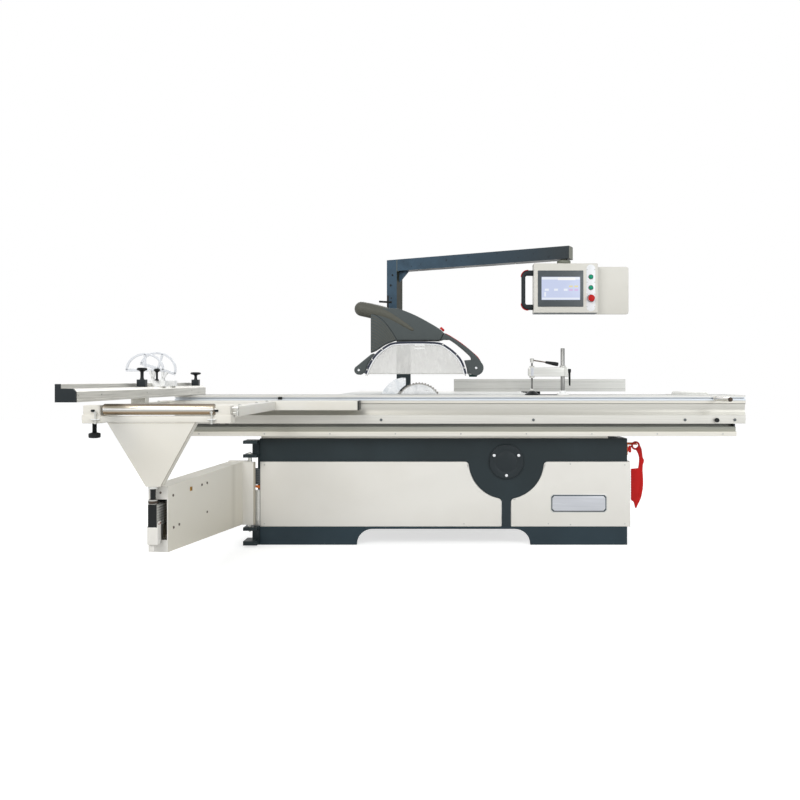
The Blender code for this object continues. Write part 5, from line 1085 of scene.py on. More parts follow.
def swingArmDetails():
    # brass screw, side screws, folded heel, the plate round the open end with dark sheets of painted shade
    # inside it, and bearings
    middle, half = arm["middle"], arm["half"]
    side, tip = middle + half + 0.0002, -arm["length"]
    square = block((side - 0.001, -0.805, 0.429), (side + 0.004, -0.785, 0.448), 0.001, plane="YZ")
    slit = block((side + 0.0035, -0.797, 0.43), (side + 0.0046, -0.793, 0.447), 0.0003, plane="YZ")
    piece("armBrassScrew", "arm", "brass", [square])
    piece("armBrassSlit", "arm", "bronze", [slit])
    places = [(-1.007, 0.438), (-0.653, 0.4389), (-0.5816, 0.4386), (-0.5816, 0.2927), (-0.9374, 0.2943),
        (-1.0012, 0.2924)]
    zinc = [shape for x, way in ((side, 1), (middle - half - 0.0002, -1)) for y, z in places
            for shape in capScrew((x, y, z), (way, 0, 0), 0.0062, 0.003)]
    zinc += capScrew((middle + 0.011, tip - 0.0012, 0.457), (0, -1, 0), 0.005, 0.002)
    piece("armScrews", "arm", "darkRod", zinc)
    heel = [block((side - 0.004, -0.014, arm["low"] + 0.0005), (0.0245, -0.0119, arm["top"] - 0.0005), 0.0008,
        plane="XZ")]
    top = block((middle - half + 0.004, -0.01, arm["top"] - 0.002), (0.004, 0.0195, arm["top"] + 0.006),
        0.001)
    piece("armHeel", "arm", "panelBeige", [*heel, top])
    edge = block((0.0246, -0.0136, arm["low"] + 0.0005), (0.0302, 0.0121, arm["top"] - 0.0005), 0.0008,
        plane="XZ")
    piece("armHeelEdge", "arm", "foldShade", edge)
    left, right = middle - half + 0.0003, middle + half - 0.0003
    face = [block((a, tip - 0.0012, b), (c, tip + 0.001, d), 0.0005, plane="XZ") for a, b, c, d in (
        (left, 0.4268, right, arm["top"] - 0.0004), (left, arm["tipLow"] + 0.0004, right, 0.247),
        (right - 0.005, 0.246, right, 0.427), (left, 0.246, left + 0.005, 0.427))]
    piece("armTipPlate", "arm", "panelBeige", face)
    # painted shade inside the mouth: thin black sheets on its two cheeks, three strips round the tube at the
    # back of the mouth, then its roof and floor
    near, deep, back = tip + 0.0012, tip + 0.0285, tip + 0.0298
    innerLeft, innerRight, low, high = left + 0.0052, right - 0.0052, 0.2475, 0.4265
    mouthShade = [block(*corners) for corners in (
        ((right - 0.0051, near, low), (right - 0.0047, tip + 0.029, high), 0.0001),
        ((left + 0.0047, near, low), (left + 0.0051, tip + 0.029, high), 0.0001),
        ((middle + 0.0306, deep, low), (innerRight, back, high), 0.0003),
        ((innerLeft, deep, low), (middle - 0.0306, back, high), 0.0003),
        ((innerLeft, deep, 0.4138), (innerRight, back, high), 0.0003),
        ((innerLeft, near, 0.4262), (innerRight, tip + 0.029, 0.4268), 0.0002),
        ((innerLeft, near, 0.2471), (innerRight, tip + 0.029, 0.2477), 0.0002))]
    piece("armMouthShade", "arm", "black", mouthShade)
    upper = [(0, 0), (0.0135, 0), (0.0135, 0.006), (0.0118, 0.007), (0.0118, 0.0245), (0, 0.0245)]
    sleeves = [turned(upper, (0, 0, 0.4875)), turned(rod(0.0118, 0.0085), (0, 0, 0.1135))]
    piece("armBearings", "arm", "zinc", sleeves)


def telescopicTube():
    # fluted sides, black end cap and post with its washer and nut, and the beige cover under the end
    middle, near, x, y = arm["middle"], arm["tubeEnd"], arm["postX"], arm["postY"]
    flutes = [bar([(middle + way * 0.0203, near + 0.004, z), (middle + way * 0.0203, near + 0.12, z),
        (middle + way * 0.0203, near + 0.5, z)], (0, 0, 1), 0.006, 0.0012, 0.0004) for way in (-1, 1)
        for z in np.linspace(0.322, 0.404, 8)]
    piece("tubeFlutes", "arm_tube", "aluminium", flutes)
    cap = block((middle - 0.0196, near - 0.0004, 0.3135), (middle + 0.0196, near + 0.003, 0.4128), 0.0005,
        plane="XZ")
    post = turned(rod(0.0118, 0.048), (x, y, 0.4316))
    piece("tubeBlackParts", "arm_tube", "black", [cap, post])
    washer = turned([(0, 0), (0.02, 0), (0.0205, 0.001), (0.0205, 0.0085), (0.0195, 0.0095), (0, 0.0095)],
        (x, y, 0.4792))
    piece("tubeWasher", "arm_tube", "aluminium", washer)
    nut = turned([(0, 0), (0.0195, 0), (0.0212, 0.003), (0.0212, 0.011), (0.015, 0.0182), (0, 0.0182)],
        (x, y, 0.4135))
    piece("tubeNut", "arm_tube", "bronze", nut)
    shell = block((middle - 0.0236, near - 0.0012, 0.2362), (middle + 0.0236, near + 0.03, 0.3128), 0.003,
        plane="XZ")
    ear = slab([(near - 0.001, 0.2362), (near + 0.004, 0.2362), (near + 0.034, 0.25), (near + 0.034, 0.338),
        (near + 0.006, 0.338), (near - 0.001, 0.313)], "YZ", middle + 0.0212, middle + 0.024, 0.0008)
    spacer = block((middle - 0.016, near + 0.008, 0.204), (middle + 0.004, near + 0.028, 0.237), 0.002)
    piece("tubeCover", "arm_tube", "panelBeige", [shell, ear, spacer])
    screws = many(capScrew, [(middle + 0.0241, near + 0.011, 0.3265), (middle + 0.0241, near + 0.026, 0.329)],
        (1, 0, 0), 0.0034, 0.0016)
    piece("tubeCoverScrews", "arm_tube", "rust", screws)


def hingeDetails():
    # bolts through the tabs, and the grille, tag and fluted panel beside the base
    x, y = armAt[0], armAt[1]
    shapes = [turned(dome(0.0095, 0.012), (x, y, z), (0, 0, way), 20)
        for z, way in ((0.5313, 1), (0.0937, -1))]
    shapes += [turned(rod(0.0135, 0.0016), (x, y, z)) for z in (0.5311, 0.0922)]
    piece("hingeBolts", "frame", "zinc", shapes)
    left, right, front = -0.9515, -0.9168, -0.3478
    panel = block((left, front, 0.11), (right, front + 0.006, 0.32), 0.001)
    ribs = [block((left + 0.0005, front - 0.002, 0.118 + 0.012 * k),
        (right, front + 0.001, 0.123 + 0.012 * k), 0.0008) for k in range(17)]
    piece("ventPanel", "frame", "aluminium", [panel, *ribs])
    piece("ventTag", "frame", "orange", slab([(left, 0.336), (right, 0.328), (right, 0.346),
        (left + 0.006, 0.348)], "XZ", front, front + 0.002, 0.0005))
    slats = [block((left, front, 0.354 + 0.01 * k), (right, front + 0.005, 0.3612 + 0.01 * k), 0.0008)
        for k in range(9)]
    back = block((left, front + 0.004, 0.35), (right, front + 0.007, 0.446), 0.001)
    piece("ventGrille", "frame", "castHousing", slats)
    piece("ventBack", "frame", "darkGrey", back)


swingArmDetails()
telescopicTube()
hingeDetails()
print("swing arm dressed")

# lower left rim of the hood and the rim line of the clear cover, as (x, z)
hoodRim = [(-0.2985, 1.128), (-0.267, 1.1415), (-0.212, 1.178), (-0.16, 1.199), (-0.137, 1.2045)]
hood = {"button": (0.138, 1.2675), "nose": (0.355, 1.033), "noseRadius": 0.048}
rimCurve = np.array([(-0.334, 0.998), (-0.312, 1.055), (-0.277, 1.11), (-0.2385, 1.148), (-0.187, 1.18),
    (-0.136, 1.196), (0.1, 1.196), (0.157, 1.18), (0.221, 1.1355), (0.272, 1.078), (0.297, 0.998)])


def smoothLine(points, count):
    # a Catmull-Rom curve through the points, evenly sampled in each of their spans
    points = np.asarray(points, float)
    padded = np.vstack([2 * points[0] - points[1], points, 2 * points[-1] - points[-2]])
    spot = np.linspace(0, len(points) - 1 - 1e-9, count)
    at = spot.astype(int)
    t = (spot - at)[:, None]
    a, b, c, d = padded[at], padded[at + 1], padded[at + 2], padded[at + 3]
    second, third = 2 * a - 5 * b + 4 * c - d, 3 * b - a - 3 * c + d
    return 0.5 * (2 * b + (c - a) * t + second * t ** 2 + third * t ** 3)


def hoodShell():
    # body and strut: slabs with rounded rims; the tube is an ellipse that narrows as it sinks into the body
    rim = smoothLine(hoodRim, 24)
    top = smoothLine([(0.1555, 1.2492), (0.125, 1.277), (0.065, 1.3135), (0.0003, 1.3486), (-0.052, 1.373),
        (-0.106, 1.3935), (-0.16, 1.403), (-0.2985, 1.4)], 40)
    outline = np.vstack([rim, [(0.1305, 1.2045)], top])
    shell = slab(outline, "XZ", -0.043, 0.043, 0.005, 3)
    outer = smoothLine([(0.1575, 1.249), (0.2003, 1.2268), (0.2753, 1.1768), (0.32, 1.143), (0.3565, 1.108),
        (0.374, 1.088), (0.387, 1.07)], 24)
    x, z = hood["nose"]
    nose = arc((x, z), hood["noseRadius"] - 0.0012, 48, -128, 30)
    inner = [(0.3035, 0.996), (0.299, 1.03), (0.2835, 1.08), (0.3265, 1.084), (0.3225, 1.1)]
    window = smoothLine([(0.3128, 1.112), (0.2753, 1.1455), (0.2253, 1.186), (0.191, 1.209)], 14)
    strut = np.vstack([outer, nose, inner, window, [(0.157, 1.2095), (0.1335, 1.203)]])
    piece("hoodShell", "guard", "hoodGrey", [shell, slab(strut, "XZ", -0.043, 0.043, 0.004, 3)],
        ["guard_hood"])
    path = smoothLine([(-0.357, 1.402), (-0.2985, 1.39), (-0.212, 1.37), (-0.15, 1.339), (-0.087, 1.3),
        (-0.04, 1.27)], 44)
    tall = np.interp(np.linspace(0, 1, 44), [0, 0.2, 0.4, 0.6, 0.8, 1.0],
        [0.0455, 0.0465, 0.044, 0.035, 0.0275, 0.019])
    wide = np.interp(np.linspace(0, 1, 44), [0, 0.4, 1.0], [0.048, 0.0495, 0.049])
    piece("hoodTube", "guard", "hoodTubeGrey", tube(sideLine(path, 0), wide, 48, tall / wide, bulge=1.0))
    disc = [turned([(0, 0), (0.0455, 0), (0.0465, 0.001), (0.0465, 0.002), (0, 0.0021)], (x, way * 0.0431, z),
        (0, way, 0), 48) for way in (-1, 1)]
    piece("noseDiscs", "guard", "hoodGrey", disc)


def hoodRibs():
    # fine curved ribs low on the left of each side, kept between the body's left edge, a bounding curve and
    # the rim
    bound = smoothLine([(-0.292, 1.37), (-0.262, 1.358), (-0.212, 1.318), (-0.165, 1.256), (-0.137, 1.209)],
        40)
    rim = smoothLine(hoodRim, 40)
    ribs, edges = [], []
    for y in (-0.0434, 0.0434):
        edges.append(sideBar(bound, y, 0.0016, 0.0028, 0.0004))
        for k in range(1, 13):
            line = bound - (0, 0.0185 * k)
            line = line[line[:, 1] > np.interp(line[:, 0], rim[:, 0], rim[:, 1]) + 0.004]
            if len(line) > 3:
                ribs.append(sideBar(line, y, 0.0016, 0.0042, 0.0005))
    piece("hoodRibs", "guard", "hoodTubeGrey", ribs)
    seam = [(0.1322, 1.204), (0.144, 1.2262), (0.1563, 1.2482)]
    edges += [sideBar(seam, y, 0.0012, 0.003, 0.0004) for y in (-0.0432, 0.0432)]
    piece("hoodSeams", "guard", "black", edges)
    lower = [bar([(-0.137, 0, 1.203), (0, 0, 1.203), (0.13, 0, 1.2022)], (0, 1, 0), 0.0875, 0.0034, 0.001)]
    piece("hoodSeal", "guard", "black", lower)
    edge = smoothLine([(0.165, 1.2465), (0.2003, 1.228), (0.2753, 1.178), (0.3565, 1.1092), (0.38, 1.0795)],
        26)
    piece("hoodRedEdge", "guard", "red", sideBar(edge, 0, 0.08, 0.003, 0.001))
    x, z = hood["nose"]
    foot = slab([(x - 0.04, z - 0.0555), (x + 0.004, z - 0.0555), (x + 0.012, z - 0.044),
        (x - 0.046, z - 0.038)], "XZ", -0.02, 0.02, 0.003)
    piece("noseFoot", "guard", "noseGreen", foot)
    spots = [(x, z), (-0.3716, 1.0193)]
    piece("guardPivotScrews", "guard", "stripWhite", sideScrews(spots, 0.0452, 0.0072, 0.003))
    x, z = hood["button"]
    side, up, _ = basis((0.677, 0, 0.736))
    ring = np.array([x, 0, z]) + arc((0, 0), 0.0195, 0, 360, 36) @ (side, up)
    piece("buttonCollar", "guard", "whitePlastic", tube(ring, 0.0024, 10, 1.0, False))


def offsetLine(line, amount):
    # an open line moved inwards, square to its own direction
    along = np.gradient(line, axis=0)
    along /= np.linalg.norm(along, axis=1, keepdims=True)
    return line + np.column_stack([along[:, 1], -along[:, 0]]) * amount


def softLine(line, passes):
    # each inner point moves to the mean of itself and its neighbours, a few times over
    line = line.copy()
    for _ in range(passes):
        line[1:-1] = (line[:-2] + 2 * line[1:-1] + line[2:]) / 4
    return line


def guardEar():
    # dark ear that carries the shield's left end, and the violet band that runs round its rim
    ear = np.vstack([arc((-0.3716, 1.0193), 0.0285, 142, 318, 20),
        [(-0.333, 1.001), (-0.3225, 1.052), (-0.3, 1.0924), (-0.2755, 1.1235), (-0.295, 1.118)]])
    shapes = [slab(ear, "XZ", -0.045, -0.037, 0.002), slab(ear, "XZ", 0.037, 0.045, 0.002)]
    piece("guardEar", "guard", "hoodGrey", shapes)
    line = softLine(smoothLine(rimCurve, 90), 24)
    bands, beads = [], []
    for y in (-0.0488, 0.0488):
        bands.append(sideBar(offsetLine(line, 0.0062), y, 0.003, 0.011, 0.001))
        for pull in (0.0006, 0.0118):
            beads.append(sideBar(offsetLine(line, pull), y, 0.0034, 0.0016, 0.0004))
    piece("rimBand", "guard", "bandViolet", bands)
    piece("rimBeads", "guard", "castHousing", beads)
    inner = [sideBar(offsetLine(line, 0.016), y, 0.0022, 0.0065, 0.0008) for y in (-0.0484, 0.0484)]
    piece("shieldRim", "guard", "stripWhite", inner)
    middle = offsetLine(line, 0.0062)
    spots = middle[[4, 14, 28, 61, 74, 85]]
    piece("rimScrews", "guard", "zinc", sideScrews(spots, 0.0503, 0.0045, 0.0016))


def shield():
    # clear cover: two cheeks and a crown that follow the rim line, 3 mm thick, open below
    line = offsetLine(softLine(smoothLine(rimCurve, 72), 16), 0.003)
    across = np.linspace(-1, 1, 25)
    half = 0.0475
    outer, inner = [], []
    for share in across:
        # the crown is flat in the middle and falls away as a quarter round at each side
        fall = 0.012 * max(0.0, abs(share) - 0.75) ** 2 / 0.0625
        outer.append(np.column_stack([line[:, 0], np.full(72, share * half), line[:, 1] - fall]))
        inner.append(np.column_stack([line[:, 0] * 0.985, np.full(72, share * (half - 0.003)),
            line[:, 1] - fall - 0.003]))
    crown = lofted([np.vstack([a, b[::-1]]) for a, b in zip(outer, inner)])
    cheeks = [slab(line, "XZ", y, y + 0.003, 0.0008) for y in (-half, half - 0.003)]
    piece("shieldCheeks", "guard", "shieldClear", cheeks, ["guard_shield"])
    piece("shieldCrown", "guard", "shieldClear", crown)
    strips = [bar([(-0.316, y, 0.9975), (0, y, 0.9975), (0.288, y, 0.9975)], (0, 1, 0), 0.002, 0.0042, 0.0008)
        for y in (-half + 0.001, half - 0.001)]
    piece("shieldStrips", "guard", "zinc", strips)
    labels = [block((-0.025, -half - 0.0006, z), (0.036, -half - 0.0001, z + 0.008), 0.0002, 0.002, "XZ")
        for z in (1.17, 1.15)]
    piece("shieldTabs", "guard", "whitePlastic", labels)


hoodShell()
hoodRibs()
guardEar()
shield()
print("guard dressed")

pendantAt = {"left": 0.794, "right": 1.244, "front": 0.62, "back": 0.72, "low": 1.431, "high": 1.779,
    "plateRight": 1.479, "buttonX": 1.194}


def columnDetails():
    # bolts with washers at the foot of the mast and at the top of the column
    shapes = many(bolt, [(-0.235, 1.345, 0.012), (-0.08, 1.345, 0.012), (-0.235, 1.4, 0.012),
        (-0.08, 1.4, 0.012)], (0, 0, 1), 0.01, 0.008, washer=0.014)
    shapes += many(bolt, [(-0.16, 1.4, 1.45), (-0.16, 1.455, 1.45), (-0.3, 1.25, 1.45), (-0.14, 1.345, 1.45)],
        (0, 0, 1), 0.008, 0.006, washer=0.012)
    piece("columnBolts", "frame", "zinc", shapes)


def boomDetails():
    # bead of weld at the mast, pale lip round the open end and small clips under the boom
    angle = math.radians(-27.3)
    along = np.array([math.cos(angle), math.sin(angle), 0])
    across = np.array([-math.sin(angle), math.cos(angle), 0])
    mast = np.array([-0.223, 1.3, 0])
    tip = mast + along * 1.4396 + (0, 0, 1.855)
    cap = bar([tip, tip + along * 0.0006, tip + along * 0.0012], across, 0.084, 0.084, 0.004)
    piece("boomEndCap", "pendant_boom", "endOlive", cap)
    clips = [turned([(0, 0), (0.007, 0), (0.007, 0.004), (0, 0.005)], mast + along * reach + (0, 0, 1.8098),
        (0, 0, -1), 12) for reach in (0.22, 0.62, 1.02, 1.3)]
    piece("boomClips", "pendant_boom", "zinc", clips)
    beads = [mast + along * 0.0465 + across * t + (0, 0, 1.8085) for t in np.linspace(-0.04, 0.04, 16)]
    sizes = 0.0028 + 0.0008 * np.cos(np.arange(16) * 2.2)
    seams = [tube(beads, sizes, 8)]
    front = mast + along * 0.047 - across * 0.0455
    seams.append(tube([front + (0, 0, z) for z in np.linspace(1.812, 1.898, 14)], 0.0022, 8))
    piece("boomWelds", "pendant_boom", "endOlive", seams)
    # black discs stand in for holes in the mast: painted shade inside them
    spots = [(0.006, 1.78, 0.0075), (-0.01, 1.7, 0.009), (-0.004, 1.6, 0.006)]
    holes = [turned([(0, 0), (r, 0), (r, 0.0006), (0, 0.0008)],
        mast - across * 0.0451 + along * shift + (0, 0, z), -across, 16) for shift, z, r in spots]
    piece("mastHoleShade", "pendant_boom", "black", holes)


def pendant():
    # case and back plate, swivel, bezel and glass, the white button strip with its rings, and screws
    left, right, front, back = (pendantAt[key] for key in ("left", "right", "front", "back"))
    low, high, plateRight = (pendantAt[key] for key in ("low", "high", "plateRight"))
    case = slab(roundRect((left, low), (right, high), 0.004), "XZ", front, back - 0.001, 0.003)
    plate = slab(roundRect((left + 0.01, low - 0.004), (plateRight, high - 0.013), 0.016), "XZ", back - 0.018,
        back + 0.002, 0.002)
    swivelX, swivelY = 1.0104, 0.6634
    swivel = turned([(0, 0), (0.046, 0), (0.048, 0.003), (0.048, 0.019), (0.046, 0.022), (0.026, 0.023),
        (0.026, 0.0305), (0, 0.0305)], (swivelX, swivelY, high), (0, 0, 1), 48)
    piece("pendantCase", "pendant", "pendantBeige", [case, plate], ["pendant_box"])
    piece("pendantSwivel", "pendant", "endOlive", swivel)
    bezelLow, bezelHigh = (0.821, 1.473), (1.141, 1.728)
    bezel = slab(roundRect(bezelLow, bezelHigh, 0.004), "XZ", front - 0.003, front + 0.001, 0.0012)
    piece("screenBezel", "pendant", "bezelGrey", bezel)
    glassLow, glassHigh = (0.847, 1.521), (1.118, 1.683)
    glass = slab(roundRect(glassLow, glassHigh, 0.002), "XZ", front - 0.0036, front - 0.002, 0.0003)
    piece("screenGlass", "pendant", "screen", glass)
    strip = slab(roundRect((1.163, 1.442), (1.225, 1.77), 0.0305, 8), "XZ", front - 0.0016, front + 0.001,
        0.0006)
    piece("buttonStrip", "pendant", "stripWhite", strip)
    spots = [(x, front - 0.0016, z) for x in (1.167, 1.221) for z in (1.733, 1.646, 1.562, 1.474)]
    piece("stripScrews", "pendant", "steel", many(capScrew, spots, (0, -1, 0), 0.0032, 0.0016))
    sizes = ((1.683, 0.016), (1.607, 0.016), (1.532, 0.0254))
    rings = [tube(loop((pendantAt["buttonX"], z), radius, front - 0.0032), 0.0014, 10, 1.0, False)
        for z, radius in sizes]
    piece("buttonRings", "pendant", "darkGrey", rings)
    backScrews = [(x, back + 0.002, z) for x in (0.86, 1.2) for z in (1.46, 1.72)]
    piece("pendantBackScrews", "pendant", "zinc", many(capScrew, backScrews, (0, 1, 0), 0.005, 0.003))
    sill = block((left + 0.002, front + 0.002, low - 0.0045), (right - 0.006, back - 0.004, low + 0.001),
        0.001)
    piece("pendantSill", "pendant", "castHousing", sill)


def pendantHandle():
    # U grip: thick oval bars across, a slimmer upright, and red inlays round its outer corners
    inner, y = pendantAt["left"] - 0.0003, 0.67
    low, high, left, bend = 1.4735, 1.716, 0.7245, 0.03
    corners = np.vstack([[(inner, low), (0.78, low), (0.768, low)],
        arc((left + bend, low + bend), bend, 270, 180, 14), [(left, 1.55), (left, 1.595), (left, 1.64)],
        arc((left + bend, high - bend), bend, 180, 90, 14), [(0.768, high), (0.78, high), (inner, high)]])
    across, upward = np.abs(np.gradient(corners[:, 0])), np.abs(np.gradient(corners[:, 1]))
    turn = upward / (across + upward)
    tall = 0.0148 + 0.0052 * (1 - turn)
    piece("pendantGrip", "pendant", "darkGrey", tube(sideLine(corners, y), 0.013, 28, tall / 0.013, False),
        ["pendant_handle"])
    caps = []
    for centre, start, end in (((left + bend, low + bend), 276, 184), ((left + bend, high - bend), 176, 84)):
        angle = np.radians(np.linspace(start, end, 22))
        reach = bend + 0.0156 + 0.0046 * np.abs(np.sin(angle))
        ring = np.column_stack([centre[0] + reach * np.cos(angle), centre[1] + reach * np.sin(angle)])
        caps.append(sideBar(ring, y, 0.018, 0.005, 0.002))
    piece("pendantGripCorners", "pendant", "red", caps)


def pendantButtons():
    # domed caps: two green ones and a red mushroom head
    for name, body, finish, radius, height in (("resumeCap", "resume", "green", 0.014, 0.008),
            ("startCap", "start", "green", 0.014, 0.008), ("stopCap", "stop", "red", 0.0235, 0.009)):
        low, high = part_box(body + "_button")
        back, face = high.y - origin[1], low.y - origin[1]
        reach = back - face
        stem = back - pendantAt["front"] + 0.0062
        under = max(reach - height, stem + 0.0002)
        profile = [(0, stem), (radius * 0.62, stem), (radius * 0.62, under), (radius * 0.94, under),
            (radius, under + 0.001), (radius * 0.985, reach - 0.0026), (radius * 0.86, reach - 0.0012),
            (radius * 0.55, reach - 0.0003), (0, reach)]
        centre = (pendantAt["buttonX"], back, (low.z + high.z) / 2)
        piece(name, body, finish, turned(profile, centre, (0, -1, 0), 40), [body + "_button"])


def screenPaint():
    # lit screen: pale blue with a header, rows of plain keys and two coloured pairs
    paint = Paint("screen", "1C2026", 0.2, **matt)
    x, z = paint.axis("X"), paint.axis("Z")
    shown = linear("CFD8F3")
    marks = [((0.85, 1.664), (1.115, 1.681), "F4F8FF"), ((0.962, 1.66), (1.085, 1.68), "FFFFFF"),
        ((0.85, 1.524), (1.115, 1.537), "EEF3FF"), ((0.87, 1.585), (0.898, 1.6), "F3F7FF"),
        ((0.935, 1.585), (0.962, 1.6), "F3F7FF"), ((1.003, 1.585), (1.03, 1.6), "F3F7FF"),
        ((1.04, 1.61), (1.066, 1.622), "E8DCA6"), ((1.078, 1.61), (1.104, 1.622), "E8DCA6"),
        ((1.04, 1.585), (1.066, 1.598), "D9BBE6"), ((1.078, 1.585), (1.104, 1.598), "D9BBE6"),
        ((0.866, 1.545), (0.878, 1.576), "F3F7FF")]
    for (a, b), (c, d), code in marks:
        across = (x > a + originX) * (x < c + originX)
        inside = across * (z > b) * (z < d)
        shown = paint.mix(inside, shown, linear(code))
    paint.set("Emission Color", shown)
    paint.set("Emission Strength", 0.9)
    return paint


finishes["screen"] = screenPaint()
columnDetails()
boomDetails()
pendant()
pendantHandle()
pendantButtons()
print("pendant dressed")


def pushStick():
    # red hook: a round eye, a waisted neck with a bump, a broad blade with fine teeth and a pointed shoe
    x, z, front = 1.2898, 0.5705, -0.262
    eye = tube(loop((x, z - 0.001), 0.0205, front + 0.006), 0.0064, 12, 0.9, False)
    neckLeft = smoothLine([(-0.002, -0.0215), (0.013, -0.045), (0.021, -0.075), (0.019, -0.11),
        (0.015, -0.1345)], 16)
    teeth = np.column_stack([-0.028 + 0.0012 * np.tile([0, 1], 12), np.linspace(-0.1385, -0.321, 24)])
    tip = smoothLine([(-0.026, -0.325), (-0.011, -0.337), (0.000, -0.3725), (0.013, -0.35), (0.032, -0.308),
        (0.043, -0.25), (0.0445, -0.2), (0.0415, -0.15), (0.043, -0.115)], 36)
    bump = smoothLine([(0.049, -0.096), (0.0495, -0.086), (0.042, -0.07), (0.0385, -0.045), (0.034, -0.018),
        (0.023, 0.004)], 18)
    outline = np.vstack([neckLeft, teeth, tip, bump]) + (x, z)
    piece("pushStickBody", "stick", "red", [eye, slab(outline, "XZ", front + 0.0005, front + 0.0115, 0.002)],
        ["push_stick"])
    rib = smoothLine([(0.03, -0.04), (0.034, -0.08), (0.032, -0.13), (0.034, -0.2), (0.02, -0.3)], 24) + (x,
        z)
    piece("pushStickRib", "stick", "red", sideBar(rib, front + 0.0004, 0.003, 0.006, 0.001))


def rightSide():
    # screws of the side switch and eight pressed louvres
    x = base["right"] + 0.0063
    screws = many(capScrew, [(x, y, z) for y in (-0.325, -0.206) for z in (0.528, 0.58)], (1, 0, 0), 0.0035,
        0.002)
    piece("isolatorScrews", "frame", "zinc", screws)
    louvres = []
    for k in range(8):
        z = 0.18 + 0.024 * k
        outer = base["right"] + base["side"]
        wave = [(outer - 0.0006, z), (outer + 0.006, z + 0.004), (outer + 0.007, z + 0.009),
            (outer - 0.0006, z + 0.014)]
        louvres.append(slab(wave, "XZ", 0.25, 0.56, 0.001, 2))
    piece("sideLouvres", "frame", "panelBeige", louvres)


def ripFenceDetails():
    # end caps, two lines along the face, the clamping knob and the pale scale strip
    low, high, face = 0.239, 1.525, 0.99
    ends = [block((a, face + 0.0005, 0.8725), (a + 0.003, face + 0.0445, 0.9645), 0.001, plane="YZ")
        for a in (low + 0.0001, high - 0.0031)]
    piece("ripFenceCaps", "rip_profile", "black", ends)
    lines = [bar([(low + 0.004, face - 0.0004, z), (0.9, face - 0.0004, z), (high - 0.004, face - 0.0004, z)],
        (0, 0, 1), 0.004, 0.0012, 0.0004) for z in (0.892, 0.944)]
    piece("ripFenceLines", "rip_profile", "steel", lines)
    knob = turned([(0, 0), (0.008, 0), (0.008, 0.01), (0.018, 0.014), (0.02, 0.02), (0.02, 0.028),
        (0.016, 0.032), (0, 0.033)], (0.82, 1.105, 0.93), (0, 0, 1), 36)
    piece("ripCarriageKnob", "rip_carriage", "darkGrey", knob)
    scale = bar([(0.7208, 0.1, 0.8605), (0.7208, 0.7, 0.8605), (0.7208, 1.33, 0.8605)], (0, 0, 1), 0.008,
        0.0008, 0.0002)
    piece("ripScale", "frame", "stripWhite", scale)


def motorDetails():
    # cooling fins round the motor and its terminal box lid
    x, z, start = 0.1, 0.57, 0.062
    fins = []
    for k in range(26):
        angle = 2 * math.pi * k / 26
        if abs(math.sin(angle) - 1) < 0.1:
            continue
        way = np.array([math.cos(angle), 0, math.sin(angle)])
        root = np.array([x, 0, z]) + way * 0.0715
        path = [root + (0, start + 0.028, 0), root + (0, start + 0.085, 0), root + (0, start + 0.142, 0)]
        fins.append(bar(path, way, 0.009, 0.0022, 0.0006))
    piece("motorFins", "carriage", "footBlue", fins)
    lid = block((x - 0.033, start + 0.036, z + 0.084), (x + 0.033, start + 0.112, z + 0.0905), 0.002, 0.004)
    piece("terminalLid", "carriage", "footBlue", lid)


def bladeDetails():
    # a carbide tip on each tooth of the main blade
    radius, z, teeth = mainBlade["radius"], mainBlade["z"], mainBlade["teeth"]
    tips = []
    for k in range(teeth):
        angle = -2 * math.pi * k / teeth
        way = np.array([math.cos(angle), 0, math.sin(angle)])
        side = np.array([math.sin(angle), 0, -math.cos(angle)])
        place = np.array([0, 0, z]) + way * (radius - 0.0042) + side * 0.0014
        tips.append(bar([place - side * 0.0012, place, place + side * 0.0012], (0, 1, 0), 0.0036, 0.0072,
            0.0003))
    piece("bladeTips", "arbor", "bronze", tips)


pushStick()
rightSide()
ripFenceDetails()
motorDetails()
bladeDetails()
print("saw unit dressed")


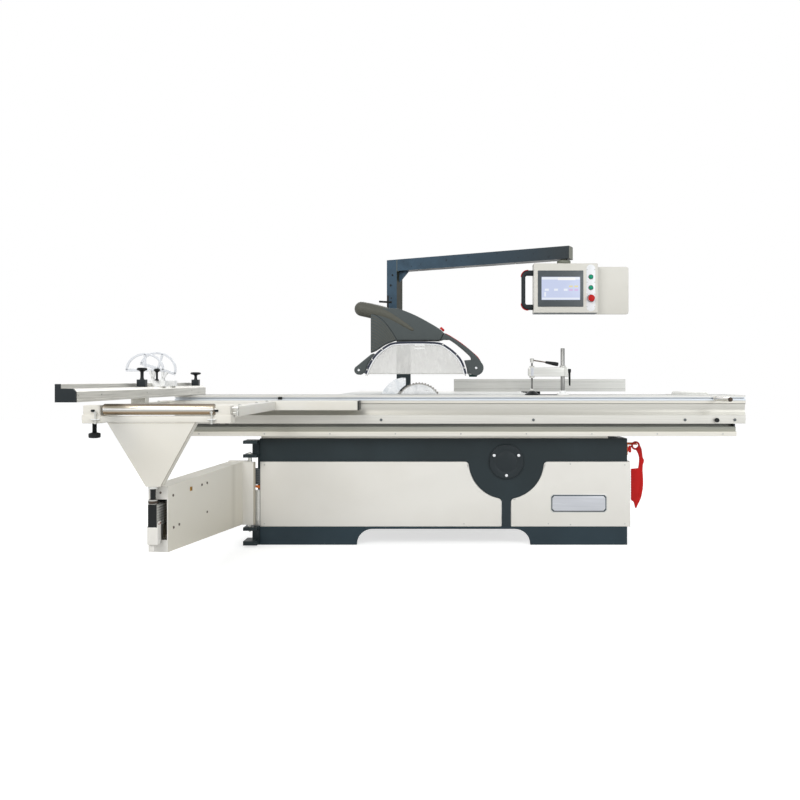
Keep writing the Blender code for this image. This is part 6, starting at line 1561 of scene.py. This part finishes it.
def stageFloor():
    # a pale floor that keeps the object's shadow, with a glow that only the eye and mirrors see
    mesh = bpy.data.meshes.new("studioFloor")
    size = 14.0
    mesh.from_pydata([(x, y, -0.0006) for x, y in ((-size, -size), (size, -size), (size, size),
        (-size, size))], [], [(0, 1, 2, 3)])
    made = placed("studioFloor", mesh)
    paint = Paint("floorPaint", "E9E9E7", 0.9)
    paint.set("Base Color", (0.62, 0.62, 0.61, 1))
    glow = paint.node("Emission", {}, {"Color": (1, 1, 1, 1), "Strength": paint.seenDirectly() * 0.62})
    both = paint.node("AddShader", {}, {0: Wire(paint, paint.shader.outputs[0]), 1: glow})
    paint.feed(paint.tree.nodes["Material Output"].inputs["Surface"], both)
    mesh.materials.append(paint.material)


def studioWorld():
    # soft grey-blue light on the object, and plain white for the eye, mirrors and clear sheets
    world = bpy.data.worlds.new("studio")
    bpy.context.scene.world = world
    world.use_nodes = True
    sky = Tree(world.node_tree)
    plain = sky.node("Background", {}, {"Color": (0.93, 0.96, 1.0, 1), "Strength": 0.62})
    white = sky.node("Background", {}, {"Color": (1, 1, 1, 1), "Strength": 1.0})
    mixed = sky.node("MixShader", {}, {0: sky.seenDirectly(), 1: plain, 2: white})
    sky.feed(sky.tree.nodes["World Output"].inputs["Surface"], mixed)


def softLamp(name, place, aim, size, power, colour=(1, 1, 1)):
    # a rectangular lamp turned towards a point
    lamp = bpy.data.lights.new(name, "AREA")
    lamp.shape = "RECTANGLE"
    lamp.size, lamp.size_y = size
    lamp.energy = power
    lamp.color = colour
    made = placed(name, lamp)
    made.location = place
    direction = np.asarray(aim, float) - np.asarray(place, float)
    made.rotation_euler = Vector(direction).to_track_quat("-Z", "Y").to_euler()


def camera():
    # straight-on view at chest height, shifted so that the saw sits a little off the middle
    view = bpy.data.cameras.new("view")
    lensLength, sensor, shiftX, shiftY = 35.64, 36.0, -0.0475, -0.025
    view.lens, view.sensor_width, view.shift_x, view.shift_y = lensLength, sensor, shiftX, shiftY
    made = placed("view", view)
    made.location = (0.119 + origin[0], -4.95 + origin[1], 0.958)
    made.rotation_euler = (math.radians(90), 0, 0)
    bpy.context.scene.camera = made


stageFloor()
studioWorld()
softLamp("keyLamp", (-2.6, -4.6, 4.2), (0, 0, 0.6), (3.0, 2.4), 150, (1.0, 0.99, 0.97))
softLamp("fillLamp", (3.6, -4.0, 2.8), (0, 0, 0.6), (2.6, 2.2), 80, (0.97, 0.99, 1.0))
softLamp("backLamp", (0.6, 4.6, 4.2), (0, 0, 0.8), (4.0, 2.0), 90)
camera()
bpy.context.scene.view_settings.view_transform = "Standard"

print("scene finished")
